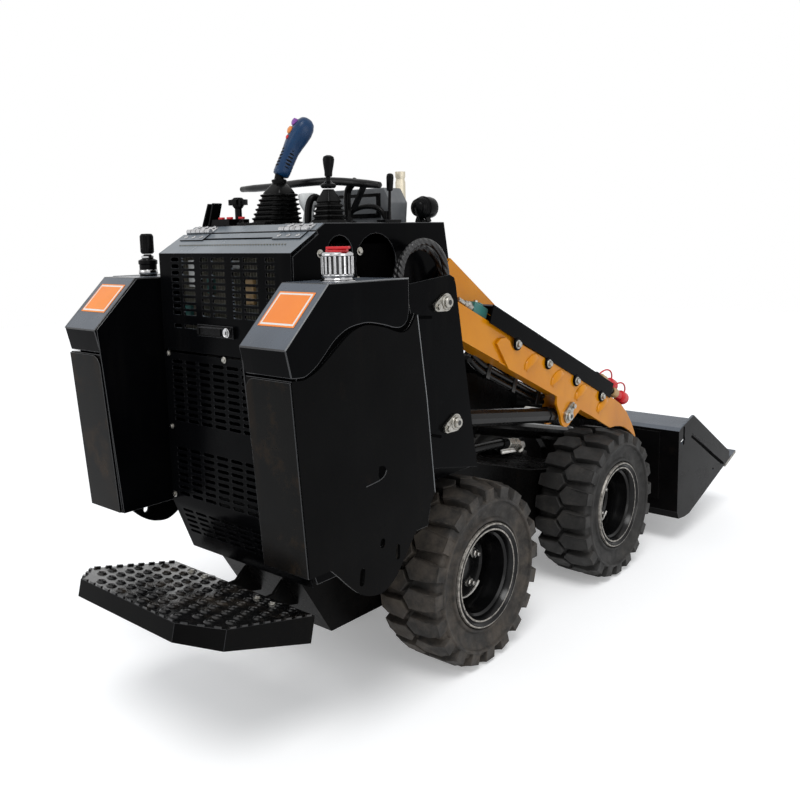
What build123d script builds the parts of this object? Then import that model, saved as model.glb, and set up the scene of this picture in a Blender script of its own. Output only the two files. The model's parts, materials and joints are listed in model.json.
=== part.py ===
from build123d import *
import math
import os

# Stand-on mini skid steer loader: wheels, body, lift arms, bucket and platform.
#
# Lengths are in millimetres.  +X is the machine's right, +Y points forwards to
# the bucket and +Z is up.  The pieces are worked out with the rear axle at Y = 0
# and the floor at Z = 0, and are moved along Y when they are written, so that the
# origin is on the floor below the middle of the whole machine.

# ---------------------------------------------------------------- wheels
TYRE_RADIUS = 228.5          # over the lug corners
TYRE_WIDTH = 170.0
WHEELBASE = 698.0
WHEEL_X = 233.0              # middle plane of each wheel
LUGS_PER_ROW = 20
LUG_HALF = 28.0              # half length of a lug round the tyre, at its root
LUG_END_HALF = 20.0          # the same at the shoulder
LUG_ROOT_X = 12.0            # where the pointed inner end begins
LUG_TIP_X = -8.0             # the point crosses the middle of the tread
TREAD_RADIUS = 207.0         # bottom of the grooves
SHOULDER_RADIUS = 191.0
SHOULDER_X = 70.0
RIM_SIDES = 16
BORE_RADIUS = 102.0
RIM_FLANGE_RADIUS = 130.0
RIM_FLANGE_X = 70.0          # inner face of each flange from the middle plane
RIM_WALL = 7.0
FLANGE_THICK = 6.0
DISC_OFFSET = 12.0           # the disc lies this far inboard of the middle plane
DISC_THICK = 8.0
HUB_RADIUS = 42.0
HUB_LENGTH = 24.0
CAP_RADIUS = 26.0
SHAFT_RADIUS = 17.5
MOTOR_RADIUS = 48.0

# ---------------------------------------------------------------- clearances
SEAT_GAP = 0.3               # between fixed pieces that seat on each other
PIN_GAP = 0.1                # radial, pin in bore
RUN_GAP = 5.0                # between pieces that move past each other

# ---------------------------------------------------------------- tub
TUB_HALF = 138.0
TUB_PLATE = 8.0
TUB_BOTTOM_Z = 102.0
TUB_FRONT_Y = WHEELBASE + 150.0
TUB_REAR_Y = -470.0
TUB_REAR_Z = 330.0           # where the rear face starts to slant inwards
TUB_SLANT_Y = -330.0         # its foot on the bottom plate
FLOOR_Z = 480.0              # top edge of the tub and of its floor pans
SILL_Z = 442.0               # step in the top edge ahead of the console
NOSE_Z = 285.0               # top edge at the front

# ---------------------------------------------------------------- console and hood
CONSOLE_HALF = 216.0
CONSOLE_PLATE = 5.0
CONSOLE_TOP_Z = 1088.0
CONSOLE_FRONT_Y = -37.0
CONSOLE_FOOT_Y = 82.0        # front edge at the floor pan
CONSOLE_FOOT_Z = FLOOR_Z + 6.0
HOOD_HALF = 220.0
HOOD_REAR_Y = -531.0
HOOD_SHEET = 4.0
SLANT_DROP = 58.0            # the slanted top falls by this over its run
SLANT_RUN = 100.0
DOOR_BOTTOM_Z = 812.0
DOOR_GAP = 6.0
PANEL_BEND_Z = 454.0
PANEL_FOOT_Y = -490.0
PANEL_FOOT_Z = 331.0
PANEL_FOOT_HALF = 206.0
HINGE_X = 158.0
HINGE_UP = 83.0              # from the door's bend, along the slanted top
HINGE_OFF = 6.0              # axis above the sheet
KNUCKLE_RADIUS = 5.5
LEAF_LONG = 84.0
LEAF_DEEP = 25.0
LEAF_THICK = 2.5
LATCH_Z = 864.0
OPENING_SMALL = 37.0         # round openings in the console's side plates
OPENING_LARGE = 64.0

# ---------------------------------------------------------------- grilles
SLOT_HIGH = 9.0
DOOR_ROWS = 9
DOOR_ROW_PITCH = 14.75
DOOR_FIRST_DROP = 14.0       # first row below the door's bend
SHORT_SLOT = 28.0
LONG_SLOT = 46.0
SHORT_COLUMNS = (-161.0, -55.0, 51.0, 158.0)
LONG_COLUMNS = (-113.0, -8.0, 97.0)
PANEL_SLOT = 40.0
PANEL_COLUMNS = 8
PANEL_PITCH = 49.0
# first row's height, rows, pitch
PANEL_BLOCKS = ((786.0, 10, 14.9), (582.0, 8, 15.2))
BEND_ROWS = 5
BEND_ROW_PITCH = 14.7
BEND_FIRST = 22.0            # first row below the bend, along the sheet

# ---------------------------------------------------------------- side boxes
BOX_OUT = 371.0
BOX_IN = 246.0
BOX_SKIN = 8.0
BOX_TOP_Y = -580.0
BOX_TOP_Z = 977.0
BOX_EDGE_Y = -689.0
BOX_EDGE_Z = 868.0
BOX_SPLIT_Y = -677.0
BOX_SPLIT_Z = 815.0
BOX_FOOT_Y = -650.0
BOX_FOOT_Z = 445.0
SPLIT_GAP = 3.0
# y, z down the front edge of tank and cover
BOX_FRONT_LINE = [(-356.0, 958.0), (-332.0, 904.0), (-304.0, 721.0), (-282.0, 519.0)]

# ---------------------------------------------------------------- towers
TOWER_OUT = 300.0
TOWER_PLATE = 10.0
TOWER_TOP_Z = 970.0
TOWER_TOP_Y = -106.0
TOWER_FOOT_Y = -28.0
TOWER_FOOT_Z = 507.0
TOWER_BACK_Z = 540.0
KEEPER_LEAN = 35.0

# ---------------------------------------------------------------- lift arms
PIVOT_Y = -148.0
PIVOT_Z = 910.0
ARM_DROP = 12.0              # the tube's middle line passes below the pivot
ARM_SLOPE = 24.3
ARM_IN = 228.0
ARM_OUT = 276.0
ARM_HALF_HEIGHT = 39.0
GUSSET_PLATE = 8.0
INNER_PLATE = 6.0
ARM_TAIL = 62.0
ARM_LENGTH = WHEELBASE + 238.0
LIFT_PIN_ALONG = WHEELBASE - 32.0    # bracket pin of the lift cylinder
LIFT_PIN_BELOW = 82.0
PIN_RADIUS = 15.0
BOSS_RADIUS = 38.0
NOSE_CLEAR = 9.0             # round the front tyre
CROSS_Y = WHEELBASE + 7.0
CROSS_Z = 512.0
CROSS_RADIUS = 35.0
MID_CROSS_ALONG = 500.0
MID_CROSS_RADIUS = 28.0
LEG_IN = 96.0
LEG_OUT = 122.0
BUCKET_PIN_Y = WHEELBASE + 287.0
BUCKET_PIN_Z = 190.0
BUCKET_PIN_RADIUS = 12.5
BUCKET_BOSS_RADIUS = 27.0
GUARD_PLATE = 4.0
GUARD_FROM = 197.0
GUARD_TO = ARM_LENGTH - 41.0
GUARD_BOTTOM = 32.0
GUARD_TOP = 78.0
GUARD_BOLT_FROM = 337.0
GUARD_BOLT_PITCH = 166.6
GUARD_BOLT_COUNT = 4
LOUVRE_FROM = 426.0
LOUVRE_PITCH = 145.0
LOUVRE_COUNT = 4

# ---------------------------------------------------------------- cylinders
LIFT_BASE_Y = -118.0
LIFT_BASE_Z = 632.0
LIFT_RADIUS = 21.0
LIFT_ROD_RADIUS = 12.5
LIFT_STROKE = 292.0
LIFT_EYE_RADIUS = 26.0
LIFT_EYE_HALF = 19.0
TILT_BASE_Y = 330.0
TILT_BASE_Z = 503.0
TILT_EYE_Y = BUCKET_PIN_Y - 10.0
TILT_EYE_Z = BUCKET_PIN_Z + 162.0
TILT_RADIUS = 25.0
TILT_ROD_RADIUS = 14.0
TILT_STROKE = 200.0
TILT_EYE_RADIUS = 25.0
TILT_EYE_HALF = 17.0
COLLAR_LONG = 28.0           # gland at the barrel's open end
COLLAR_RISE = 2.0
ROD_TAIL = 60.0              # what stays in the barrel at full stroke
EYE_GAP = 4.0                # between an eye and the ears beside it
EAR_RADIUS = 32.0            # round the pin of every eye
EAR_PLATE = 8.0

# ---------------------------------------------------------------- bucket
BUCKET_HALF = 352.0
BUCKET_SIDE = 8.0
BUCKET_SHEET = 6.0
BUCKET_BACK_Y = BUCKET_PIN_Y + 63.0
BUCKET_BACK_TOP_Z = 395.0
BUCKET_HEEL_Y = BUCKET_BACK_Y + 14.0
BUCKET_HEEL_Z = 92.0
BUCKET_FLOOR_Y = BUCKET_BACK_Y + 102.0
BUCKET_FLOOR_Z = 88.0
BUCKET_LIP_Y = BUCKET_BACK_Y + 544.0
BUCKET_LIP_Z = 224.0
BUCKET_PEAK_Y = BUCKET_BACK_Y + 122.0
BUCKET_PEAK_Z = BUCKET_BACK_TOP_Z + 35.0
BUCKET_CHEEK_Y = BUCKET_BACK_Y + 474.0
BUCKET_CHEEK_Z = 231.0
CHEEK_HOLE_RADIUS = 6.0
CHEEK_HOLE_Y = BUCKET_BACK_Y + 313.0
CHEEK_HOLE_UP = 45.0         # above the floor's lower face
GROOVE_DEEP = 2.0
GROOVE_HALF = 7.0
EDGE_WIDTH = 110.0
EDGE_THICK = 12.0
ATTACH_HALF = 290.0
ATTACH_PLATE = 12.0
ATTACH_LOW_Z = 158.0
ATTACH_TOP_Z = BUCKET_BACK_TOP_Z - 7.0

# ---------------------------------------------------------------- platform
DECK_REAR_HALF = 157.0
DECK_HALF = 226.0
DECK_LENGTH = 306.0
DECK_CHAMFER = 64.0
DECK_PLATE = 4.0
DECK_REAR_SKIRT = 35.0
DECK_FRONT_SKIRT = 58.0
DECK_SET_BACK = 12.0         # deck's front edge behind the hinge line
DECK_TILT = 13.5
DECK_HINGE_Y = -512.0
DECK_HINGE_Z = 265.0
DECK_RISE = 24.0             # deck's top above the hinge line
DECK_HINGE_RADIUS = 12.0
DECK_HINGE_HALF = 135.0
DECK_LUG_X = 110.0
DECK_LUG_PLATE = 10.0
HINGE_BRACKET_X = 60.0

# ---------------------------------------------------------------- controls
JOYSTICK_X = -24.0
JOYSTICK_Y = -342.0
JOYSTICK_BOOT = 94.0
AUX_X = 138.0
AUX_Y = -340.0
AUX_BOOT = 76.0
THROTTLE_X = 204.0
THROTTLE_Y = -220.0
SHUT_OFF_X = -122.0
SHUT_OFF_Y = -376.0
BAR_HALF = 206.0
BAR_Y = -264.0
BAR_KINK = 22.0              # the pad's middle stands this far behind its ends
BAR_Z = CONSOLE_TOP_Z + 92.0
BAR_RADIUS = 11.0
BAR_LEG_X = 120.0
BAR_LEG_RADIUS = 10.0
DASH_Y = -165.0              # rear face
DASH_DEEP = 60.0
DASH_LEFT = -62.0
DASH_RIGHT = 162.0
DASH_HIGH = 80.0
LAMP_X = 186.0
LAMP_Y = -78.0
LAMP_Z = CONSOLE_TOP_Z + 34.0
LAMP_RADIUS = 25.0
PIPE_X = 128.0
PIPE_Y = -90.0
PIPE_RADIUS = 12.0
PIPE_WALL = 2.0
PIPE_TOP = 119.0
FILLER_X = 308.0
FILLER_Y = -492.0
FILLER_RADIUS = 40.0
BREATHER_Y = -503.0

# ---------------------------------------------------------------- hydraulics
COUPLER_ALONG = ARM_LENGTH - 66.0
LOOP_RADIUS = 8.0            # hoses that loop over the arm's pivot
LOOP_SIDES = 8
LOOP_BEND = 84.0             # of the loop's middle line
LOOP_OUTER = (264.0, -176.0, 960.0)  # x, y, z of each loop's middle
LOOP_INNER = (243.0, -166.0, 948.0)
LOOP_LEG = 28.0              # straight down from the loop's middle

# ---------------------------------------------------------------- engine
ENGINE_HALF = 165.0
ENGINE_REAR_Y = -455.0
ENGINE_FRONT_Y = -60.0
ENGINE_TOP_Z = CONSOLE_TOP_Z - 103.0


# ================================================================ helpers
def slab(points, x_low, x_high):
    """A plate whose outline is given by (y, z) corners, between two X planes."""
    outline = Plane.YZ * make_face(Polyline(*points, close=True))
    return Pos(x_low, 0, 0) * extrude(outline, amount=x_high - x_low, dir=(1, 0, 0))


def block(x_low, x_high, y_low, y_high, z_low, z_high):
    """A box between three pairs of planes."""
    middle = Pos((x_low + x_high) / 2, (y_low + y_high) / 2, (z_low + z_high) / 2)
    return middle * Box(x_high - x_low, y_high - y_low, z_high - z_low)


def sides_for(radius):
    """Sides of a many-sided bar or hole; small ones need fewer."""
    for limit, sides in ((8, 8), (22, 10), (32, 12), (60, 16)):
        if radius < limit:
            return sides
    return 20


def shaft_x(radius, x_low, x_high, y, z):
    """A truly round shaft along X, for what turns on it."""
    return Pos((x_low + x_high) / 2, y, z) * Rot(0, 90, 0) * Cylinder(radius, x_high - x_low)


def rod_x(radius, x_low, x_high, y, z):
    """A many-sided bar along X; its corners lie on the radius."""
    section = Plane.YZ * RegularPolygon(radius, sides_for(radius))
    return Pos(x_low, y, z) * extrude(section, amount=x_high - x_low, dir=(1, 0, 0))


def hole_x(radius, x_low, x_high, y, z):
    """A many-sided hole along X; its flats touch the radius."""
    return rod_x(radius / math.cos(math.pi / sides_for(radius)), x_low, x_high, y, z)


def flat_sided(rings):
    """A solid of flat faces between rings of corner points, closed at both ends."""
    faces = [make_face(Polyline(*ring, close=True)).face() for ring in (rings[0], rings[-1])]
    for low, high in zip(rings, rings[1:]):
        for i in range(len(low)):
            corners = (low[i - 1], low[i], high[i], high[i - 1])
            faces.append(make_face(Polyline(*corners, close=True)).face())
    return Solid(Shell(faces))


def stack(rings):
    """A many-sided turned shape along +Z from (height, radius) rings."""
    sides = sides_for(max(radius for height, radius in rings))
    turn = 2 * math.pi / sides
    return flat_sided([
        [(radius * math.cos(i * turn), radius * math.sin(i * turn), height) for i in range(sides)]
        for height, radius in rings
    ])


def both_sides(piece):
    """The right-hand piece and its left-hand twin, as one shape."""
    return piece + mirror(piece, about=Plane.YZ)


def turned(y, z, about_y, about_z, degrees):
    """The point (y, z) turned about +X through another point."""
    a = math.radians(degrees)
    dy = y - about_y
    dz = z - about_z
    return (
        about_y + dy * math.cos(a) - dz * math.sin(a),
        about_z + dy * math.sin(a) + dz * math.cos(a),
    )


def on_arm(along, above):
    """The (y, z) of a point given along and above the arm tube's middle line."""
    return turned(PIVOT_Y + along, PIVOT_Z - ARM_DROP + above, PIVOT_Y, PIVOT_Z - ARM_DROP, -ARM_SLOPE)


def arc_points(y, z, radius, start, end, steps):
    """Points on an arc in the Y-Z plane, angles in degrees from +Y towards +Z."""
    angles = [math.radians(start + (end - start) * i / steps) for i in range(steps + 1)]
    return [(y + radius * math.cos(a), z + radius * math.sin(a)) for a in angles]


def keeper_plate(x, y, z, degrees):
    """Locking plate of a pin: a rounded triangle, flat on the plane X = x."""
    outline = [
        *arc_points(0, 0, PIN_RADIUS + 6, 80, -80, 4),
        *arc_points(-34, 0, 11, 260, 100, 3),
    ]
    return Pos(x, y, z) * Rot(degrees, 0, 0) * slab(outline, 0, 6)


# ================================================================ wheels
HALF_PITCH = 180.0 / LUGS_PER_ROW
LUG_HEIGHT = math.sqrt(TYRE_RADIUS**2 - LUG_HALF**2)
LUG_HALF_ANGLE = math.degrees(math.asin(LUG_HALF / TYRE_RADIUS))
AXLE_Z = TYRE_RADIUS * math.cos(math.radians(HALF_PITCH - LUG_HALF_ANGLE))


def drum(x_low, x_high, inner_radius, sides):
    """A straight many-sided drum along X whose flats touch the radius."""
    section = Plane.YZ * RegularPolygon(inner_radius / math.cos(math.pi / sides), sides)
    return Pos(x_low, 0, 0) * extrude(section, amount=x_high - x_low, dir=(1, 0, 0))


def tyre_lug():
    """One lug of the outer row, at the top of the tyre, with a bevelled shoulder."""
    plan = Polyline(
        (TYRE_WIDTH / 2, -LUG_END_HALF),
        (TYRE_WIDTH / 2, LUG_END_HALF),
        (LUG_ROOT_X, LUG_HALF),
        (LUG_TIP_X, 0),
        (LUG_ROOT_X, -LUG_HALF),
        close=True,
    )
    low = SHOULDER_RADIUS - RIM_WALL
    lug = Pos(0, 0, low) * extrude(make_face(plan), amount=LUG_HEIGHT - low, dir=(0, 0, 1))
    bevel = Polyline(
        (SHOULDER_X + 4, LUG_HEIGHT + 1),
        (TYRE_WIDTH / 2 + 1, LUG_HEIGHT + 1),
        (TYRE_WIDTH / 2 + 1, TREAD_RADIUS + 4),
        close=True,
    )
    cut = Plane.XZ.offset(-TYRE_WIDTH) * make_face(bevel)
    return lug - extrude(cut, amount=2 * TYRE_WIDTH, dir=(0, -1, 0))


def tyre():
    """A solid industrial tyre about the X axis, with two staggered rows of lugs."""
    half = TYRE_WIDTH / 2
    sections = []
    for x, radius in (
        (-half, SHOULDER_RADIUS),
        (-SHOULDER_X, TREAD_RADIUS),
        (SHOULDER_X, TREAD_RADIUS),
        (half, SHOULDER_RADIUS),
    ):
        corner = radius / math.cos(math.pi / LUGS_PER_ROW)
        sections.append(Plane.YZ.offset(x) * RegularPolygon(corner, LUGS_PER_ROW))
    body = loft(sections, ruled=True)
    body -= drum(-half - 1, half + 1, BORE_RADIUS, RIM_SIDES)
    recess = drum(RIM_FLANGE_X - SEAT_GAP, half + 1, RIM_FLANGE_RADIUS + SEAT_GAP, RIM_SIDES)
    body -= recess
    body -= mirror(recess, about=Plane.YZ)
    lug = tyre_lug()
    twin = Rot(HALF_PITCH, 0, 0) * mirror(lug, about=Plane.YZ)
    lugs = [Rot(2 * i * HALF_PITCH, 0, 0) * row for i in range(LUGS_PER_ROW) for row in (lug, twin)]
    return body.fuse(*lugs)


def rim():
    """A deep dished rim about the X axis; +X is its outer side."""
    barrel_radius = BORE_RADIUS - SEAT_GAP
    inner_radius = barrel_radius - RIM_WALL
    edge = RIM_FLANGE_X + FLANGE_THICK
    hub_x = -DISC_OFFSET - HUB_LENGTH
    flange = drum(RIM_FLANGE_X, edge, RIM_FLANGE_RADIUS, RIM_SIDES)
    shell = drum(-edge, edge, barrel_radius, RIM_SIDES) + flange + mirror(flange, about=Plane.YZ)
    shell -= drum(-edge - 1, edge + 1, inner_radius, RIM_SIDES)
    shell += drum(-DISC_OFFSET - DISC_THICK, -DISC_OFFSET, inner_radius + RIM_WALL / 2, RIM_SIDES)
    shell += rod_x(HUB_RADIUS, hub_x, -DISC_OFFSET, 0, 0)
    shell += rod_x(CAP_RADIUS, -DISC_OFFSET - 1, DISC_OFFSET, 0, 0)
    return shell - hole_x(SHAFT_RADIUS + PIN_GAP, hub_x - 1, -DISC_OFFSET, 0, 0)


def wheel_motor():
    """The right rear drive motor: housing bolted to the tub, shaft in the hub."""
    hub_face = WHEEL_X - DISC_OFFSET - HUB_LENGTH
    body = rod_x(MOTOR_RADIUS, TUB_HALF + SEAT_GAP, hub_face - RUN_GAP, 0, AXLE_Z)
    shaft = shaft_x(SHAFT_RADIUS, TUB_HALF + RUN_GAP, hub_face + HUB_LENGTH - 2, 0, AXLE_Z)
    return body + shaft


# ================================================================ chassis
def tub_outline(inset):
    """Side outline of the tub; inset moves it inwards."""
    return [
        (TUB_REAR_Y + inset, TUB_REAR_Z + inset),
        (TUB_SLANT_Y + inset / 2, TUB_BOTTOM_Z + inset),
        (TUB_FRONT_Y - 48 - inset / 2, TUB_BOTTOM_Z + inset),
        (TUB_FRONT_Y - inset, TUB_BOTTOM_Z + 58),
        (TUB_FRONT_Y - inset, NOSE_Z - inset),
        (460, NOSE_Z + 77 - inset),
        (190, SILL_Z - inset),
        (60, FLOOR_Z - inset),
        (TUB_REAR_Y + inset, FLOOR_Z - inset),
    ]


def chassis_tub():
    """The welded tub between the wheels, with the floor pans above the rear tyres."""
    inside = TUB_HALF - TUB_PLATE
    tub = slab(tub_outline(0), -TUB_HALF, TUB_HALF)
    tub -= slab(tub_outline(TUB_PLATE), -inside, inside)
    tub -= block(-inside, inside, -420, 20, SILL_Z, FLOOR_Z + 1)
    reach = CONSOLE_HALF - CONSOLE_PLATE - SEAT_GAP
    pan = block(TUB_HALF - 1, reach, -190, 60, FLOOR_Z - TUB_PLATE, FLOOR_Z)
    rear = block(TUB_HALF - 1, reach, TUB_REAR_Y, -300, TUB_REAR_Z + 10, FLOOR_Z)
    return tub + both_sides(pan) + both_sides(rear)


def engine_block():
    """The engine, standing on the tub's top edges."""
    return block(-ENGINE_HALF, ENGINE_HALF, ENGINE_REAR_Y, ENGINE_FRONT_Y,
                 FLOOR_Z + SEAT_GAP, ENGINE_TOP_Z)


SLANT_LOW_Z = CONSOLE_TOP_Z - SLANT_DROP
SLANT_ANGLE = math.degrees(math.atan2(SLANT_DROP, SLANT_RUN))
SLANT_LENGTH = math.hypot(SLANT_DROP, SLANT_RUN)


def on_slant(along, off):
    """The (y, z) of a point along the slanted top from the door's bend, and off it."""
    return turned(HOOD_REAR_Y + along, SLANT_LOW_Z + off, HOOD_REAR_Y, SLANT_LOW_Z, SLANT_ANGLE)


HINGE_Y, HINGE_Z = on_slant(HINGE_UP, HINGE_OFF)
DOOR_EDGE = HINGE_UP - 2
STRIP_EDGE = DOOR_EDGE + RUN_GAP


def console_side():
    """Right side plate of the console and hood, with its two round openings."""
    inside = HOOD_REAR_Y + HOOD_SHEET
    low = CONSOLE_FOOT_Z - 14
    outline = [
        (CONSOLE_FRONT_Y, CONSOLE_TOP_Z),
        (CONSOLE_FOOT_Y, CONSOLE_FOOT_Z),
        (CONSOLE_FOOT_Y, low),
        (-215, low),
        (-292, TUB_REAR_Z + 10),
        (PANEL_FOOT_Y + HOOD_SHEET + SEAT_GAP, TUB_REAR_Z + 10),
        (inside + SEAT_GAP, PANEL_BEND_Z),
        (inside + SEAT_GAP, DOOR_BOTTOM_Z - DOOR_GAP),
        (inside + RUN_GAP, DOOR_BOTTOM_Z),
        (inside + RUN_GAP, SLANT_LOW_Z - 7),
        on_slant(DOOR_EDGE, -HOOD_SHEET - RUN_GAP),
        on_slant(STRIP_EDGE, -HOOD_SHEET - RUN_GAP),
        on_slant(STRIP_EDGE, 0),
        on_slant(SLANT_LENGTH, 0),
    ]
    plate = slab(outline, CONSOLE_HALF - CONSOLE_PLATE, CONSOLE_HALF)
    # y, z, radius of each round opening
    for y, z, radius in (
        (-390, CONSOLE_TOP_Z - 64, OPENING_SMALL),
        (-278, CONSOLE_TOP_Z - 88, OPENING_LARGE),
        (PIVOT_Y, PIVOT_Z, PIN_RADIUS + PIN_GAP),
        (LIFT_BASE_Y, LIFT_BASE_Z, PIN_RADIUS + PIN_GAP),
    ):
        plate -= hole_x(radius, CONSOLE_HALF - CONSOLE_PLATE - 1, CONSOLE_HALF + 1, y, z)
    return plate


def console_shell():
    """The welded console: two side plates and the bent sheet of its top and front."""
    half = CONSOLE_HALF - CONSOLE_PLATE
    sheet = CONSOLE_PLATE
    outline = [
        on_slant(STRIP_EDGE, 0),
        on_slant(SLANT_LENGTH, 0),
        (CONSOLE_FRONT_Y, CONSOLE_TOP_Z),
        (CONSOLE_FOOT_Y, CONSOLE_FOOT_Z),
        (CONSOLE_FOOT_Y - sheet, CONSOLE_FOOT_Z),
        (CONSOLE_FRONT_Y - sheet, CONSOLE_TOP_Z - sheet),
        (HOOD_REAR_Y + SLANT_RUN + 2, CONSOLE_TOP_Z - sheet),
        on_slant(STRIP_EDGE, -sheet),
    ]
    return slab(outline, -half, half) + both_sides(console_side())


def tower_plate():
    """Right outer tower plate, with the web that joins it to the console."""
    seat = [(y + 2 * SEAT_GAP, z) for y, z in BOX_FRONT_LINE]
    inside = TOWER_OUT - TOWER_PLATE
    outline = [
        (TOWER_TOP_Y - 22, TOWER_TOP_Z),
        (TOWER_TOP_Y - 6, TOWER_TOP_Z - 7),
        (TOWER_TOP_Y, TOWER_TOP_Z - 22),
        (TOWER_FOOT_Y, TOWER_FOOT_Z),
        (-199, TOWER_BACK_Z),
        (seat[3][0], TOWER_BACK_Z - 15),
        seat[2],
        seat[1],
        (seat[0][0] + 4, TOWER_TOP_Z - 20),
    ]
    plate = slab(outline, inside, TOWER_OUT)
    for y, z in ((PIVOT_Y, PIVOT_Z), (LIFT_BASE_Y, LIFT_BASE_Z)):
        plate -= hole_x(PIN_RADIUS + PIN_GAP, inside - 1, TOWER_OUT + 1, y, z)
        plate -= slot_x(y - 70, z - 20, 26, 8, KEEPER_LEAN, inside - 1, TOWER_OUT + 1)
    front = [(y + TOWER_PLATE - 2, z) for y, z in seat[1:]]
    web = slab([*seat[1:], *reversed(front)], CONSOLE_HALF + SEAT_GAP, TOWER_OUT - 1)
    return plate + web


def slot_x(y, z, long, high, degrees, x_low, x_high):
    """A straight slot along X, its long side leaning by the given angle."""
    bar = Box(x_high - x_low, long, high)
    return Pos((x_low + x_high) / 2, y, z) * Rot(degrees, 0, 0) * bar


def pivot_pin(y, z):
    """One fixed pin with its keeper plate on the tower's outer face."""
    pin = shaft_x(PIN_RADIUS, CONSOLE_HALF - CONSOLE_PLATE - 12, TOWER_OUT + 4, y, z)
    return pin + keeper_plate(TOWER_OUT + SEAT_GAP, y, z, KEEPER_LEAN)


# ================================================================ hood
def door_slots():
    """Cutters of the door's grille: short and long columns take turns."""
    slots = []
    first_z = SLANT_LOW_Z - DOOR_FIRST_DROP
    for columns, long in ((SHORT_COLUMNS, SHORT_SLOT), (LONG_COLUMNS, LONG_SLOT)):
        for x in columns:
            for row in range(DOOR_ROWS):
                slots.append((x, long, first_z - row * DOOR_ROW_PITCH))
    # the lowest row is there only beside the latch
    last_z = first_z - (DOOR_ROWS + 1) * DOOR_ROW_PITCH
    slots.append((SHORT_COLUMNS[0], SHORT_SLOT, last_z))
    slots.append((LONG_COLUMNS[0], LONG_SLOT, last_z))
    return [Pos(x, HOOD_REAR_Y, z) * Box(long, 3 * HOOD_SHEET, SLOT_HIGH) for x, long, z in slots]


def hood_door():
    """The door behind the engine: vertical grille sheet and slanted top, one bend."""
    outline = [
        (HOOD_REAR_Y, DOOR_BOTTOM_Z),
        (HOOD_REAR_Y, SLANT_LOW_Z),
        on_slant(DOOR_EDGE, 0),
        on_slant(DOOR_EDGE, -HOOD_SHEET),
        (HOOD_REAR_Y + HOOD_SHEET, SLANT_LOW_Z - 2),
        (HOOD_REAR_Y + HOOD_SHEET, DOOR_BOTTOM_Z),
    ]
    sheet = slab(outline, -HOOD_HALF, HOOD_HALF) - door_slots()
    return sheet + both_sides(leaf_on_slant(HINGE_UP - KNUCKLE_RADIUS - PIN_GAP - LEAF_DEEP, -1))


def leaf_on_slant(along, off):
    """Right hinge leaf from a place along the slanted top; off is its lower face."""
    y, z = on_slant(along, off)
    leaf = Pos(0, LEAF_DEEP / 2, (LEAF_THICK - off) / 2) * Box(LEAF_LONG, LEAF_DEEP, LEAF_THICK - off)
    return Pos(HINGE_X, y, z) * Rot(SLANT_ANGLE, 0, 0) * leaf


def hood_hinge():
    """Right fixed hinge: knuckle on the hinge line and its leaf on the console's strip."""
    half = LEAF_LONG / 2
    knuckle = shaft_x(KNUCKLE_RADIUS, HINGE_X - half, HINGE_X + half, HINGE_Y, HINGE_Z)
    return knuckle + leaf_on_slant(HINGE_UP, SEAT_GAP)


def door_latch():
    """Paddle latch with its lock barrel on the door's lower edge."""
    face = HOOD_REAR_Y - SEAT_GAP
    tray = block(-80, 42, face - 7, face, LATCH_Z - 13, LATCH_Z + 13)
    paddle = block(-72, 14, face - 13, face - 6, LATCH_Z - 8, LATCH_Z + 8)
    lock = Pos(28, face - 1, LATCH_Z) * Rot(90, 0, 0) * stack([(0, 9), (13, 9)])
    return tray + paddle + lock


def panel_slots():
    """Cutters of the fixed panel's slots: two blocks above the bend and one below it."""
    middle = (PANEL_COLUMNS - 1) / 2
    columns = [(i - middle) * PANEL_PITCH for i in range(PANEL_COLUMNS)]
    slot = Box(PANEL_SLOT, 3 * HOOD_SHEET, SLOT_HIGH - 1)
    slots = []
    for first_z, rows, pitch in PANEL_BLOCKS:
        slots += [Pos(x, HOOD_REAR_Y, first_z - row * pitch) * slot for x in columns for row in range(rows)]
    lean = math.degrees(math.atan2(PANEL_FOOT_Y - HOOD_REAR_Y, PANEL_BEND_Z - PANEL_FOOT_Z))
    lower = Pos(0, HOOD_REAR_Y, PANEL_BEND_Z) * Rot(lean, 0, 0)
    for row in range(BEND_ROWS):
        slots += [lower * Pos(x, 0, -BEND_FIRST - row * BEND_ROW_PITCH) * slot for x in columns]
    return slots


def rear_grille():
    """The fixed lower sheet with its inward bend; it narrows below the bend."""
    top = DOOR_BOTTOM_Z - DOOR_GAP
    outline = [
        (HOOD_REAR_Y, top),
        (HOOD_REAR_Y, PANEL_BEND_Z),
        (PANEL_FOOT_Y, PANEL_FOOT_Z),
        (PANEL_FOOT_Y + HOOD_SHEET, PANEL_FOOT_Z + 1),
        (HOOD_REAR_Y + HOOD_SHEET, PANEL_BEND_Z),
        (HOOD_REAR_Y + HOOD_SHEET, top),
    ]
    corner = Plane.XZ * make_face(Polyline(
        (PANEL_FOOT_HALF, PANEL_FOOT_Z - 1), (HOOD_HALF, PANEL_BEND_Z),
        (HOOD_HALF + 1, PANEL_BEND_Z), (HOOD_HALF + 1, PANEL_FOOT_Z - 1), close=True))
    corner = extrude(corner, amount=-2 * HOOD_REAR_Y, both=True)
    return slab(outline, -HOOD_HALF, HOOD_HALF) - both_sides(corner) - panel_slots()


# ================================================================ side boxes
# y, z of the wavy joint between the tank above and the cover below, rear to front
SPLIT_LINE = [
    (BOX_SPLIT_Y, BOX_SPLIT_Z),
    (-640, 814),
    (-585, 838),
    (-542, 872),
    (-500, 893),
    (-473, 897),
    (-430, 886),
    (-386, 873),
    (-355, 880),
    BOX_FRONT_LINE[1],
]
# y, z, long, high, lean of the tie-down slots in the cover's lobe
COVER_SLOTS = ((-450, 425, 30, 13, 20), (-402, 425, 26, 12, 50), (-513, 406, 30, 13, -30))


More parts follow.
